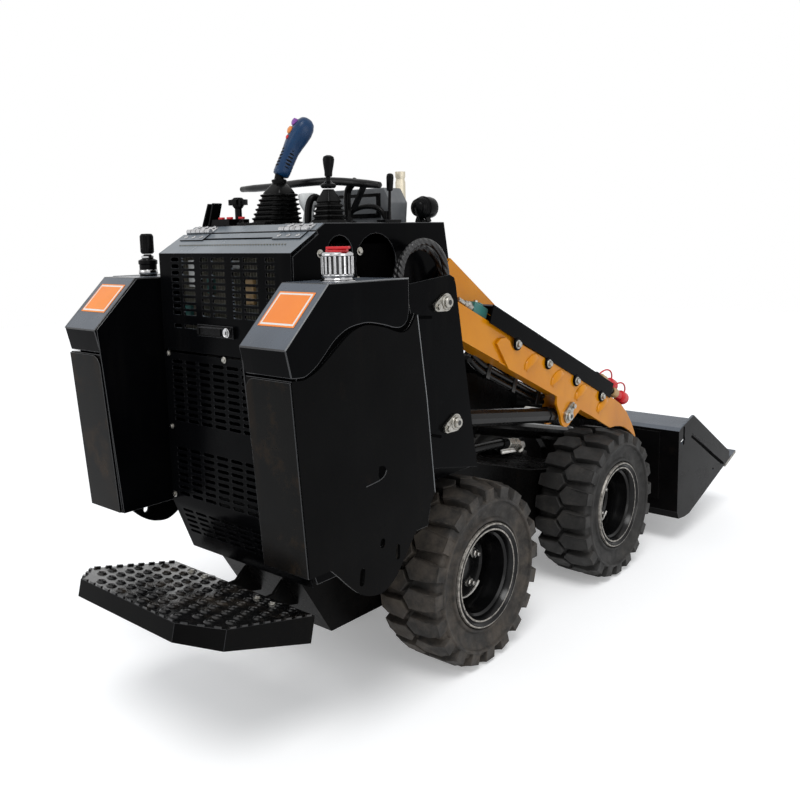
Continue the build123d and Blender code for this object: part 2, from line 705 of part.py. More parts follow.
def side_tank():
    """Right hydraulic tank: slanted rear face, wavy lower edge."""
    top = [(BOX_EDGE_Y, BOX_EDGE_Z), (BOX_TOP_Y, BOX_TOP_Z), BOX_FRONT_LINE[0]]
    outline = [*top, *reversed(SPLIT_LINE)]
    return slab(outline, BOX_IN, BOX_OUT) + box_mount(BOX_FRONT_LINE[1][1] - 4, BOX_FRONT_LINE[0][1] - 18)


def side_cover():
    """Right lower cover, a closed box, and its outer skin with the slotted lower lobe."""
    joint = [(y, z - SPLIT_GAP) for y, z in SPLIT_LINE]
    front = BOX_FRONT_LINE[2:]
    body = [*joint, *front, (-300, BOX_FOOT_Z + 3), (BOX_FOOT_Y, BOX_FOOT_Z)]
    lobe = [
        *joint,
        *front,
        (-306, 488),
        (-345, 452),
        (-384, 407),
        (-412, 372),
        (-450, 354),
        (-489, 357),
        (-542, 393),
        (-596, BOX_FOOT_Z),
        (BOX_FOOT_Y, BOX_FOOT_Z),
    ]
    skin = slab(lobe, BOX_OUT - BOX_SKIN, BOX_OUT)
    for y, z, long, high, lean in COVER_SLOTS:
        skin -= slot_x(y, z, long, high, lean, BOX_OUT - BOX_SKIN - 1, BOX_OUT + 1)
    cover = slab(body, BOX_IN, BOX_OUT - 1) + skin
    return cover + box_mount(DOOR_BOTTOM_Z - 252, DOOR_BOTTOM_Z - 172)


def box_mount(z_low, z_high):
    """Spacer that carries a right side box on the console plate."""
    return block(CONSOLE_HALF + SEAT_GAP, BOX_IN + 1, -470, -430, z_low, z_high)


# ================================================================ lift arms
LIFT_BASE = (LIFT_BASE_Y, LIFT_BASE_Z)
LIFT_EYE = on_arm(LIFT_PIN_ALONG, -LIFT_PIN_BELOW)
LIFT_X = (ARM_IN + ARM_OUT) / 2


def nose_points():
    """Lower edge of the nose: an arc that follows the front tyre."""
    return arc_points(WHEELBASE, AXLE_Z, TYRE_RADIUS + NOSE_CLEAR, 92, 44, 6)


def bracket_lobe():
    """Lower end of the bracket plates, round the lift cylinder's upper pin."""
    return arc_points(*LIFT_EYE, EAR_RADIUS, -ARM_SLOPE - 20, -ARM_SLOPE - 160, 6)


def arm_gusset():
    """Right outer gusset: hooked tail, bracket lobe under the tube, curved nose over the tyre."""
    below = -ARM_HALF_HEIGHT - 7
    outside = ARM_OUT + GUSSET_PLATE
    # along, above of the upper edge: hook, scallop round the guard's first bolt, nose
    upper = [
        (254, -3),
        (266, 14),
        (286, 23),
        (306, 21),
        (GUARD_BOLT_FROM - 16, 11),
        (GUARD_BOLT_FROM, 7),
        (GUARD_BOLT_FROM + 15, 13),
        (GUARD_BOLT_FROM + 26, 30),
        (ARM_LENGTH - 11, ARM_HALF_HEIGHT),
        (ARM_LENGTH + 44, ARM_HALF_HEIGHT - 3),
        (ARM_LENGTH + 94, 23),
        (ARM_LENGTH + 144, 0),
        (ARM_LENGTH + 181, -24),
    ]
    lower = [
        *reversed(nose_points()),
        on_arm(LIFT_PIN_ALONG + 134, below),
        on_arm(LIFT_PIN_ALONG + 69, below),
        *bracket_lobe(),
        on_arm(LIFT_PIN_ALONG - 66, below - 20),
        on_arm(LIFT_PIN_ALONG - 74, below),
        on_arm(330, below),
    ]
    plate = slab([*(on_arm(*point) for point in upper), *lower], ARM_OUT + SEAT_GAP, outside)
    # embossed louvres
    for i in range(LOUVRE_COUNT):
        y, z = on_arm(LOUVRE_FROM + i * LOUVRE_PITCH, -1)
        plate += Pos(outside, y, z) * Rot(28, 0, 0) * Box(5, 58, 16)
    return plate - hole_x(PIN_RADIUS + PIN_GAP, ARM_OUT - 1, outside + 1, *LIFT_EYE)


def lift_arm():
    """Right arm: box tube, pivot boss, raised inner plate and inner bracket lobe."""
    h = ARM_HALF_HEIGHT
    inside = ARM_IN - INNER_PLATE
    # along, above
    tube = [(-ARM_TAIL, -20), (-ARM_TAIL, 30), (-45, h), (ARM_LENGTH, h),
            (ARM_LENGTH, -h + 10), (ARM_LENGTH - 40, -h), (-40, -h)]
    inner = [(-ARM_TAIL, -20), (-55, 75), (0, 128), (63, 144),
             (281, 107), (340, h), (340, -h), (-40, -h)]
    arm = slab([on_arm(*point) for point in tube], ARM_IN, ARM_OUT)
    arm += slab([on_arm(*point) for point in inner], inside, ARM_IN + 1)
    arm += slab([on_arm(LIFT_PIN_ALONG - 44, -h + 8), on_arm(LIFT_PIN_ALONG + 69, -h + 8),
                 *bracket_lobe()], inside, ARM_IN)
    arm += rod_x(BOSS_RADIUS, inside, ARM_OUT + GUSSET_PLATE, PIVOT_Y, PIVOT_Z)
    arm -= hole_x(PIN_RADIUS + PIN_GAP, inside - 1, ARM_IN + 1, *LIFT_EYE)
    return arm - hole_x(PIN_RADIUS + PIN_GAP, inside - 1, ARM_OUT + GUSSET_PLATE + 1, PIVOT_Y, PIVOT_Z)


def loop_sockets():
    """Shelf behind the right arm's tail, with the four sockets that hold the hose loops."""
    top = LOOP_INNER[2] - LOOP_LEG - SEAT_GAP
    rear = LOOP_OUTER[1] - LOOP_BEND - 2 * LOOP_RADIUS
    front = on_arm(-ARM_TAIL, 0)[0]
    shelf = block(ARM_IN, ARM_OUT, rear, front, top - TUB_PLATE, top)
    radius = LOOP_RADIUS + 3
    # the outer loop's rear socket stands on the shelf, the front ones in the tube's top
    for x, y, z in (LOOP_OUTER, LOOP_INNER):
        seat = z - LOOP_LEG - SEAT_GAP
        low = on_arm((y + LOOP_BEND - PIVOT_Y) / math.cos(math.radians(ARM_SLOPE)), 0)[1]
        shelf += Pos(x, y + LOOP_BEND, 0) * stack([(low, radius), (seat, radius)])
        shelf += Pos(x, y - LOOP_BEND, 0) * stack([(top - 4, radius), (seat, radius)])
    return shelf


def hose_loop(place):
    """One hose over the arm's pivot: straight runs round a half circle, joined by arcs."""
    x, y, z = place
    corner = LOOP_BEND / math.cos(math.radians(18))
    middle = [(x, b, c) for b, c in arc_points(y, z, corner, 162, 18, 4)]
    points = [(x, y - LOOP_BEND, z - LOOP_LEG), *middle, (x, y + LOOP_BEND, z - LOOP_LEG)]
    run = 2 * LOOP_BEND * math.tan(math.radians(18))
    bend = 0.45 * min(run, points[1][2] - points[0][2]) / math.tan(math.radians(18))
    print("hose loop bend radius", round(bend, 1), "section radius", LOOP_RADIUS)
    path = FilletPolyline(*points, radius=bend)
    section = Plane(origin=points[0], z_dir=(0, 0, 1)) * RegularPolygon(LOOP_RADIUS, LOOP_SIDES)
    return sweep(section, path=path)


def arm_stub_pins():
    """Short pins in the bracket plates of the right arm, clear of the rod's eye."""
    outside = ARM_OUT + GUSSET_PLATE
    inside = ARM_IN - INNER_PLATE
    outer = rod_x(PIN_RADIUS, ARM_OUT + SEAT_GAP, outside + 4, *LIFT_EYE)
    outer += keeper_plate(outside + SEAT_GAP, *LIFT_EYE, KEEPER_LEAN + 15)
    return outer + rod_x(PIN_RADIUS, inside - 6, ARM_IN - SEAT_GAP, *LIFT_EYE)


def arm_cross_members():
    """Front cross tube with its two drop legs, and the tube that carries the tilt cylinder."""
    seat = ARM_IN - SEAT_GAP
    boss = BUCKET_BOSS_RADIUS
    leg_outline = [
        (CROSS_Y - 44, CROSS_Z - 20),
        (CROSS_Y - 44, CROSS_Z + 25),
        (CROSS_Y - 10, CROSS_Z + 48),
        (CROSS_Y + 60, CROSS_Z + 30),
        (BUCKET_PIN_Y - 80, BUCKET_PIN_Z + 250),
        (BUCKET_PIN_Y - 7, BUCKET_PIN_Z + 140),
        (BUCKET_PIN_Y + boss, BUCKET_PIN_Z + 40),
        *arc_points(BUCKET_PIN_Y, BUCKET_PIN_Z, boss, 0, -180, 6),
        (BUCKET_PIN_Y - boss, BUCKET_PIN_Z + 100),
        (BUCKET_PIN_Y - 113, BUCKET_PIN_Z + 195),
        (CROSS_Y + 55, CROSS_Z - 72),
    ]
    leg = slab(leg_outline, LEG_IN, LEG_OUT)
    leg -= hole_x(BUCKET_PIN_RADIUS + PIN_GAP, LEG_IN - 1, LEG_OUT + 1, BUCKET_PIN_Y, BUCKET_PIN_Z)
    mid_y, mid_z = on_arm(MID_CROSS_ALONG, 0)
    ear_in = TILT_EYE_HALF + EYE_GAP
    ear = slab(
        [
            (mid_y - MID_CROSS_RADIUS, mid_z),
            (mid_y, mid_z + MID_CROSS_RADIUS + 6),
            (mid_y + 60, mid_z + 6),
            (TILT_BASE_Y + 212, TILT_BASE_Z + 100),
            (TILT_BASE_Y + 236, TILT_BASE_Z + 76),
            (TILT_BASE_Y + 238, TILT_BASE_Z + 28),
            *arc_points(TILT_BASE_Y, TILT_BASE_Z, EAR_RADIUS - 4, 40, -180, 8),
        ],
        ear_in, ear_in + EAR_PLATE)
    ear -= hole_x(PIN_RADIUS + PIN_GAP, ear_in - 1, ear_in + EAR_PLATE + 1, TILT_BASE_Y, TILT_BASE_Z)
    tubes = rod_x(CROSS_RADIUS, -seat, seat, CROSS_Y, CROSS_Z)
    tubes += rod_x(MID_CROSS_RADIUS, -seat, seat, mid_y, mid_z)
    return tubes + both_sides(leg) + both_sides(ear)


def tilt_base_pin():
    """Pin of the tilt cylinder's base in its two ears."""
    reach = TILT_EYE_HALF + EYE_GAP + EAR_PLATE + 6
    return shaft_x(PIN_RADIUS, -reach, reach, TILT_BASE_Y, TILT_BASE_Z)


def hose_guard():
    """Angle that covers the hoses on the right arm, with bolt tabs along its lower edge."""
    out = ARM_OUT + GUSSET_PLATE + SEAT_GAP
    lower = [(GUARD_FROM + 2, GUARD_BOTTOM)]
    for i in range(GUARD_BOLT_COUNT):
        middle = GUARD_BOLT_FROM + i * GUARD_BOLT_PITCH
        lower += [(middle - 16, GUARD_BOTTOM), (middle - 12, 14),
                  (middle + 12, 14), (middle + 16, GUARD_BOTTOM)]
    lower += [(GUARD_TO - 4, GUARD_BOTTOM), (GUARD_TO, GUARD_TOP), (GUARD_FROM, GUARD_TOP)]
    side = slab([on_arm(*point) for point in lower], out, out + GUARD_PLATE)
    top = [(GUARD_FROM, GUARD_TOP - GUARD_PLATE), (GUARD_TO, GUARD_TOP - GUARD_PLATE),
           (GUARD_TO, GUARD_TOP), (GUARD_FROM, GUARD_TOP)]
    return side + slab([on_arm(*point) for point in top], ARM_IN + 4, out + 1)


def hose_fittings():
    """Bracket at the guard's front end with its two capped quick couplers."""
    y, z = on_arm(COUPLER_ALONG, ARM_HALF_HEIGHT + SEAT_GAP)
    place = Pos(0, y, z) * Rot(-ARM_SLOPE, 0, 0)
    plate = Pos((ARM_IN + ARM_OUT) / 2, GUARD_TO - COUPLER_ALONG + 14, 34) * Box(44, 6, 68)
    foot = Pos((ARM_IN + ARM_OUT) / 2, GUARD_TO - COUPLER_ALONG + 26, 3) * Box(44, 30, 6)
    # radius along the coupler from the bracket: collar, sleeve, dust cap
    rings = [(0, 11), (34, 11), (34.1, 15), (62, 15), (62.1, 12), (92, 12), (92.1, 19), (122, 19), (130, 12)]
    coupler = Rot(-90, 0, 0) * stack(rings)
    start = GUARD_TO - COUPLER_ALONG + 14
    fittings = plate + foot
    # x, height above the tube, start along the arm
    for x, up, back in ((262, 26, 0), (240, 52, -46)):
        fittings += Pos(x, start + back, up) * coupler
    return place * fittings


# ================================================================ cylinders
def along_line(from_point, to_point):
    """Length and slope, in degrees, of the line between two (y, z) points."""
    dy = to_point[0] - from_point[0]
    dz = to_point[1] - from_point[1]
    return math.hypot(dy, dz), math.degrees(math.atan2(dz, dy))


TILT_BASE = (TILT_BASE_Y, TILT_BASE_Z)
TILT_EYE = (TILT_EYE_Y, TILT_EYE_Z)
LIFT_LENGTH, LIFT_SLOPE = along_line(LIFT_BASE, LIFT_EYE)
TILT_LENGTH, TILT_SLOPE = along_line(TILT_BASE, TILT_EYE)


def laid_on(shape, x, y, z, slope):
    """Places a shape modelled along +Y from the origin."""
    return Pos(x, y, z) * Rot(slope, 0, 0) * shape


def rod_y(radius, y_low, y_high):
    """A many-sided bar along Y through the origin."""
    bar = Rot(-90, 0, 0) * extrude(RegularPolygon(radius, sides_for(radius)), amount=y_high - y_low)
    return Pos(0, y_low, 0) * bar


def barrel(length, stroke, radius, rod_radius, eye_radius, eye_half, pin_radius):
    """A cylinder barrel along +Y, base eye at the origin; length is eye to eye at rest."""
    start = EAR_RADIUS + RUN_GAP
    end = length - start
    body = rod_y(radius, start, end) + rod_y(radius + COLLAR_RISE, end - COLLAR_LONG, end)
    body += Pos(0, (start + 4) / 2, 0) * Box(2 * eye_half, start + 4, eye_radius)
    body += rod_x(eye_radius, -eye_half, eye_half, 0, 0)
    body -= hole_x(pin_radius + PIN_GAP, -eye_half - 1, eye_half + 1, 0, 0)
    bore = (rod_radius + PIN_GAP) / math.cos(math.pi / sides_for(rod_radius))
    return body - rod_y(bore, length - stroke - eye_radius - ROD_TAIL - 20, end + 1)


def piston_rod(length, stroke, rod_radius, eye_radius, eye_half, pin_radius):
    """A rod along +Y with its eye at the given length."""
    rod = rod_y(rod_radius, length - stroke - eye_radius - ROD_TAIL, length - eye_radius + 6)
    rod += Pos(0, length, 0) * rod_x(eye_radius, -eye_half, eye_half, 0, 0)
    return rod - Pos(0, length, 0) * hole_x(pin_radius + PIN_GAP, -eye_half - 1, eye_half + 1, 0, 0)


def lift_barrel():
    body = barrel(LIFT_LENGTH, LIFT_STROKE, LIFT_RADIUS, LIFT_ROD_RADIUS,
                  LIFT_EYE_RADIUS, LIFT_EYE_HALF, PIN_RADIUS)
    return laid_on(body, LIFT_X, *LIFT_BASE, LIFT_SLOPE)


def lift_rod():
    rod = piston_rod(LIFT_LENGTH, LIFT_STROKE, LIFT_ROD_RADIUS,
                     LIFT_EYE_RADIUS, LIFT_EYE_HALF, PIN_RADIUS)
    return laid_on(rod, LIFT_X, *LIFT_BASE, LIFT_SLOPE)


def tilt_barrel():
    body = barrel(TILT_LENGTH, TILT_STROKE, TILT_RADIUS, TILT_ROD_RADIUS,
                  TILT_EYE_RADIUS, TILT_EYE_HALF, PIN_RADIUS)
    return laid_on(body, 0, *TILT_BASE, TILT_SLOPE)


def tilt_rod():
    rod = piston_rod(TILT_LENGTH, TILT_STROKE, TILT_ROD_RADIUS,
                     TILT_EYE_RADIUS, TILT_EYE_HALF, BUCKET_PIN_RADIUS)
    return laid_on(rod, 0, *TILT_BASE, TILT_SLOPE)


# ================================================================ bucket
def attach_plate():
    """Attachment plate with the pivot ears and the tilt ears, seated on the bucket's back."""
    front = BUCKET_BACK_Y - SEAT_GAP
    rear = front - ATTACH_PLATE
    plate = block(-ATTACH_HALF, ATTACH_HALF, rear, front, ATTACH_LOW_Z, ATTACH_TOP_Z)
    r = BUCKET_BOSS_RADIUS
    pivot_outline = [
        (rear + 1, BUCKET_PIN_Z - r),
        (rear + 1, BUCKET_PIN_Z + r + 30),
        *arc_points(BUCKET_PIN_Y, BUCKET_PIN_Z, r, 60, 270, 7),
    ]
    tilt_outline = [
        (rear + 1, TILT_EYE_Z - 45),
        (rear + 1, TILT_EYE_Z + 30),
        *arc_points(TILT_EYE_Y, TILT_EYE_Z, r - 3, 80, 270, 6),
    ]
    pivot = (pivot_outline, BUCKET_PIN_Y, BUCKET_PIN_Z)
    tilt = (tilt_outline, TILT_EYE_Y, TILT_EYE_Z)
    # inner face of each ear, with its outline and pin
    for ear_x, (outline, y, z) in (
        (LEG_IN - RUN_GAP - EAR_PLATE, pivot),
        (LEG_OUT + RUN_GAP, pivot),
        (TILT_EYE_HALF + EYE_GAP, tilt),
    ):
        ear = slab(outline, ear_x, ear_x + EAR_PLATE)
        ear -= hole_x(BUCKET_PIN_RADIUS + PIN_GAP, ear_x - 1, ear_x + EAR_PLATE + 1, y, z)
        plate += both_sides(ear)
    return plate


def bucket_pins():
    """Pivot pins of the bucket and short pins at the tilt ears."""
    low = LEG_IN - RUN_GAP - EAR_PLATE - 5
    high = LEG_OUT + RUN_GAP + EAR_PLATE + 5
    pivot = shaft_x(BUCKET_PIN_RADIUS, low, high, BUCKET_PIN_Y, BUCKET_PIN_Z)
    ear_in = TILT_EYE_HALF + EYE_GAP
    tilt = rod_x(BUCKET_PIN_RADIUS, ear_in + SEAT_GAP, ear_in + EAR_PLATE + 6, TILT_EYE_Y, TILT_EYE_Z)
    return both_sides(pivot) + both_sides(tilt)


def floor_z(y):
    """Height of the bucket floor's lower face."""
    t = (y - BUCKET_FLOOR_Y) / (BUCKET_LIP_Y - BUCKET_FLOOR_Y)
    return BUCKET_FLOOR_Z + t * (BUCKET_LIP_Z - BUCKET_FLOOR_Z)


FLOOR_SLOPE = math.degrees(math.atan2(BUCKET_LIP_Z - BUCKET_FLOOR_Z, BUCKET_LIP_Y - BUCKET_FLOOR_Y))


def bucket_cheek():
    """Right cheek: rounded lower edge, slanted front, diagonal groove, slot and hole."""
    inside = BUCKET_HALF - BUCKET_SIDE
    cheek = slab(
        [
            (BUCKET_BACK_Y, BUCKET_BACK_TOP_Z),
            (BUCKET_BACK_Y + 18, BUCKET_BACK_TOP_Z + 9),
            (BUCKET_PEAK_Y, BUCKET_PEAK_Z),
            (BUCKET_CHEEK_Y, BUCKET_CHEEK_Z),
            (BUCKET_CHEEK_Y, floor_z(BUCKET_CHEEK_Y)),
            (BUCKET_FLOOR_Y, BUCKET_FLOOR_Z),
            (BUCKET_FLOOR_Y - 40, BUCKET_FLOOR_Z - 1),
            (BUCKET_HEEL_Y, BUCKET_HEEL_Z),
            (BUCKET_BACK_Y, BUCKET_HEEL_Z + 26),
        ],
        inside, BUCKET_HALF)
    # groove beside the slanted front edge, on the outer face
    length, lean = along_line((BUCKET_PEAK_Y, BUCKET_PEAK_Z), (BUCKET_CHEEK_Y, BUCKET_CHEEK_Z))
    middle_y = (BUCKET_PEAK_Y + BUCKET_CHEEK_Y) / 2 - 46
    middle_z = (BUCKET_PEAK_Z + BUCKET_CHEEK_Z) / 2 - 48
    cheek -= slot_x(middle_y, middle_z, length - 70, 2 * GROOVE_HALF, lean,
                    BUCKET_HALF - GROOVE_DEEP, BUCKET_HALF + 1)
    cheek -= slot_x(BUCKET_BACK_Y + 34, BUCKET_BACK_TOP_Z - 38, 34, 14, 20, inside - 1, BUCKET_HALF + 1)
    hole = shaft_x(CHEEK_HOLE_RADIUS, inside - 1, BUCKET_HALF + 1,
                   CHEEK_HOLE_Y, floor_z(CHEEK_HOLE_Y) + CHEEK_HOLE_UP)
    return cheek - hole


def bucket_shell():
    """Back, floor, top flange and two cheeks of the bucket."""
    t = BUCKET_SHEET
    half = BUCKET_HALF - 1
    lip_y = BUCKET_LIP_Y - EDGE_WIDTH / 2
    skin = [
        (BUCKET_BACK_Y, BUCKET_BACK_TOP_Z),
        (BUCKET_BACK_Y, BUCKET_HEEL_Z + 26),
        (BUCKET_HEEL_Y, BUCKET_HEEL_Z),
        (BUCKET_FLOOR_Y - 40, BUCKET_FLOOR_Z - 1),
        (BUCKET_FLOOR_Y, BUCKET_FLOOR_Z),
        (lip_y, floor_z(lip_y)),
        (lip_y, floor_z(lip_y) + t),
        (BUCKET_FLOOR_Y, BUCKET_FLOOR_Z + t),
        (BUCKET_FLOOR_Y - 38, BUCKET_FLOOR_Z - 1 + t),
        (BUCKET_HEEL_Y + 4, BUCKET_HEEL_Z + t),
        (BUCKET_BACK_Y + t, BUCKET_HEEL_Z + 28),
        (BUCKET_BACK_Y + t, BUCKET_BACK_TOP_Z),
    ]
    top = [
        (BUCKET_BACK_Y, BUCKET_BACK_TOP_Z - t),
        (BUCKET_BACK_Y, BUCKET_BACK_TOP_Z),
        (BUCKET_BACK_Y + 18, BUCKET_BACK_TOP_Z + 9),
        (BUCKET_PEAK_Y - 22, BUCKET_PEAK_Z - 8),
        (BUCKET_PEAK_Y - 20, BUCKET_PEAK_Z - 8 - t),
        (BUCKET_BACK_Y + 20, BUCKET_BACK_TOP_Z + 3),
    ]
    return slab(skin, -half, half) + slab(top, -half, half) + both_sides(bucket_cheek())


def cutting_edge():
    """The thick lip plate on the floor's front end."""
    rear = BUCKET_LIP_Y - EDGE_WIDTH
    bar = Pos(0, EDGE_WIDTH / 2, -EDGE_THICK / 2 - SEAT_GAP) * Box(2 * BUCKET_HALF, EDGE_WIDTH, EDGE_THICK)
    nose = Pos(0, EDGE_WIDTH, -EDGE_THICK / 2) * Rot(-20, 0, 0) * Pos(0, 0, EDGE_THICK) * Box(
        2 * BUCKET_HALF + 2, 60, EDGE_THICK)
    return Pos(0, rear, floor_z(rear)) * Rot(FLOOR_SLOPE, 0, 0) * (bar - nose)


# ================================================================ platform
def deck_plan(inset, front):
    """Plan of the deck, its edges moved inwards, up to a front line."""
    return [
        (-DECK_HALF + inset, -DECK_LENGTH + DECK_CHAMFER + inset / 2),
        (-DECK_REAR_HALF + inset / 2, -DECK_LENGTH + inset),
        (DECK_REAR_HALF - inset / 2, -DECK_LENGTH + inset),
        (DECK_HALF - inset, -DECK_LENGTH + DECK_CHAMFER + inset / 2),
        (DECK_HALF - inset, front),
        (-DECK_HALF + inset, front),
    ]


def on_deck(piece):
    """Places a piece modelled flat, with the hinge line at the origin."""
    return Pos(0, DECK_HINGE_Y, DECK_HINGE_Z) * Rot(-DECK_TILT, 0, 0) * piece


def platform_deck():
    """The standing platform: chamfered deck with a skirt that deepens forwards."""
    t = DECK_PLATE
    deep = DECK_FRONT_SKIRT
    body = Pos(0, 0, -deep) * extrude(
        make_face(Polyline(*deck_plan(0, -DECK_SET_BACK), close=True)), amount=deep, dir=(0, 0, 1))
    body -= slab([(-DECK_LENGTH - 20, -DECK_REAR_SKIRT), (0, -deep), (0, -2 * deep),
                  (-DECK_LENGTH - 20, -2 * deep)], -DECK_HALF - 5, DECK_HALF + 5)
    body -= Pos(0, 0, -2 * deep) * extrude(
        make_face(Polyline(*deck_plan(t, DECK_SET_BACK), close=True)), amount=2 * deep - t, dir=(0, 0, 1))
    return on_deck(Pos(0, 0, DECK_RISE) * body)


def platform_lugs():
    """Two lugs under the deck that turn on the hinge tube."""
    under = DECK_RISE - DECK_PLATE
    outline = [(-70, under + 1), (-14, under + 1), *arc_points(0, 0, 20, 60, -120, 6), (-60, under - 22)]
    lug = slab(outline, DECK_LUG_X, DECK_LUG_X + DECK_LUG_PLATE)
    lug -= hole_x(DECK_HINGE_RADIUS + PIN_GAP, DECK_LUG_X - 1, DECK_LUG_X + DECK_LUG_PLATE + 1, 0, 0)
    return on_deck(both_sides(lug))


def tub_rear_y(z):
    """The tub's slanted rear face at a height."""
    t = (z - TUB_BOTTOM_Z) / (TUB_REAR_Z - TUB_BOTTOM_Z)
    return TUB_SLANT_Y + t * (TUB_REAR_Y - TUB_SLANT_Y)


def platform_hinge():
    """Fixed hinge tube and its two brackets on the tub's slanted rear face."""
    tube = shaft_x(DECK_HINGE_RADIUS, -DECK_HINGE_HALF, DECK_HINGE_HALF, DECK_HINGE_Y, DECK_HINGE_Z)
    high = DECK_HINGE_Z + 35
    low = DECK_HINGE_Z - 35
    r = DECK_HINGE_RADIUS
    bracket = slab(
        [(DECK_HINGE_Y - r, DECK_HINGE_Z), (DECK_HINGE_Y - 4, DECK_HINGE_Z + r),
         (DECK_HINGE_Y + 32, DECK_HINGE_Z + r), (tub_rear_y(high) - SEAT_GAP, high),
         (tub_rear_y(low) - SEAT_GAP, low), (DECK_HINGE_Y, DECK_HINGE_Z - r)],
        HINGE_BRACKET_X, HINGE_BRACKET_X + TUB_PLATE)
    return tube + both_sides(bracket)


# ================================================================ controls and fittings
TOP = CONSOLE_TOP_Z + SEAT_GAP


def bellows(x, y, wide, deep, height, shrink, pleats, lean):
    """A pleated rubber boot on the console: lofted pleats that get smaller upwards."""
    rings = []
    for i in range(2 * pleats + 1):
        t = i / (2 * pleats)
        k = 1 - (1 - shrink) * t - (0.09 if i % 2 == 0 else 0)
        rings.append(rectangle_at(x + lean * t, y, TOP + height * t, wide * k, deep * k))
    return flat_sided(rings)


def rectangle_at(x, y, z, wide, deep):
    """The four corners of a level rectangle round a point."""
    a = wide / 2
    b = deep / 2
    return [(x - a, y - b, z), (x + a, y - b, z), (x + a, y + b, z), (x - a, y + b, z)]


def lever_boots():
    """Bellows of the drive joystick and of the auxiliary lever, with its plain cone."""
    main_boot = bellows(JOYSTICK_X, JOYSTICK_Y, 96, 84, JOYSTICK_BOOT, 0.66, 6, 8)
    pleats = bellows(AUX_X, AUX_Y, 80, 70, AUX_BOOT / 2, 0.86, 3, 0)
    cone = flat_sided([
        rectangle_at(AUX_X, AUX_Y, TOP + AUX_BOOT / 2, 62, 54),
        rectangle_at(AUX_X, AUX_Y, TOP + AUX_BOOT, 18, 16),
    ])
    return main_boot + pleats + cone


def stick(x, y, z, lean_x, lean_y, rings):
    """A turned handle on a leaning line, on an upright collar."""
    collar = Pos(x, y, z) * stack([(0, 6), (10, 6)])
    return collar + Pos(x, y, z + 7) * Rot(lean_x, lean_y, 0) * stack(rings)


def control_levers():
    """Joystick grip, auxiliary lever with its knob, throttle rod and shut-off knob."""
    grip = [(0, 6), (8, 6), (8.1, 18), (60, 17), (84, 22), (112, 25), (128, 22), (140, 9)]
    knob = [(0, 4), (14, 4), (14.1, 7), (44, 11), (52, 9), (55, 3)]
    throttle = [(0, 3.5), (68, 3.5), (68.1, 7), (98, 8), (104, 5)]
    levers = stick(JOYSTICK_X + 8, JOYSTICK_Y, TOP + JOYSTICK_BOOT + SEAT_GAP, -24, 9, grip)
    levers += stick(AUX_X, AUX_Y, TOP + AUX_BOOT + SEAT_GAP, 0, 3, knob)
    levers += stick(THROTTLE_X, THROTTLE_Y, TOP, 0, 3, throttle)
    post = Pos(SHUT_OFF_X, SHUT_OFF_Y, TOP) * stack([(0, 9), (60, 9)])
    cross = Pos(SHUT_OFF_X, SHUT_OFF_Y, TOP + 48) * (Box(40, 12, 16) + Box(12, 40, 16))
    return levers + post + cross


def hand_bar():
    """Padded hand bar, kinked in its middle, on two tube legs with foot plates."""
    depth = BAR_RADIUS
    plan = [
        (-BAR_HALF, -depth), (0, -depth - BAR_KINK), (BAR_HALF, -depth),
        (BAR_HALF, depth), (0, depth - BAR_KINK), (-BAR_HALF, depth),
    ]
    pad = extrude(make_face(Polyline(*plan, close=True)), amount=BAR_RADIUS, both=True)
    rise = BAR_Z - TOP
    leg = stack([(0, BAR_LEG_RADIUS + 8), (6, BAR_LEG_RADIUS + 8), (6.1, BAR_LEG_RADIUS), (rise, BAR_LEG_RADIUS)])
    return Pos(0, BAR_Y, BAR_Z) * pad + both_sides(Pos(BAR_LEG_X, BAR_Y - BAR_KINK / 3, TOP) * leg)


def dash_housing():
    """Instrument housing: chamfered on the right, its rear face flat."""
    outline = Polyline(
        (DASH_LEFT, 0), (DASH_RIGHT - 4, 0), (DASH_RIGHT, DASH_HIGH - 34),
        (DASH_RIGHT - 20, DASH_HIGH), (DASH_LEFT + 30, DASH_HIGH), (DASH_LEFT, DASH_HIGH - 30),
        close=True)
    body = extrude(Plane.XZ * make_face(outline), amount=-DASH_DEEP)
    return Pos(0, DASH_Y, TOP) * body


def exhaust_pipe():
    """Upright tail pipe beside the instrument housing."""
    pipe = stack([(0, PIPE_RADIUS), (PIPE_TOP, PIPE_RADIUS)])
    bore = Pos(0, 0, 30) * stack([(0, PIPE_RADIUS - PIPE_WALL), (PIPE_TOP, PIPE_RADIUS - PIPE_WALL)])
    return Pos(PIPE_X, PIPE_Y, TOP) * (pipe - bore)


def work_lamp():
    """Round work lamp facing forwards, domed behind, on its two-legged foot."""
    r = LAMP_RADIUS
    rings = [(-28, 0.4 * r), (-20, 0.8 * r), (-4, r), (22, r), (28, 0.9 * r)]
    body = Pos(LAMP_X, LAMP_Y, LAMP_Z) * Rot(-90, 0, 0) * stack(rings)
    rise = LAMP_Z - TOP - 0.8 * r
    foot = Polyline((-18, 0), (-10, 0), (-2, rise - 4), (2, rise - 4), (10, 0), (18, 0),
                    (8, rise + 6), (-8, rise + 6), close=True)
    foot = extrude(Plane.XZ * make_face(foot), amount=3, both=True)
    return body + Pos(LAMP_X, LAMP_Y, TOP) * foot


def tank_top_z(y):
    """Height of the tanks' top face at a place along the machine."""
    far_y, far_z = BOX_FRONT_LINE[0]
    return BOX_TOP_Z + (y - BOX_TOP_Y) / (far_y - BOX_TOP_Y) * (far_z - BOX_TOP_Z)


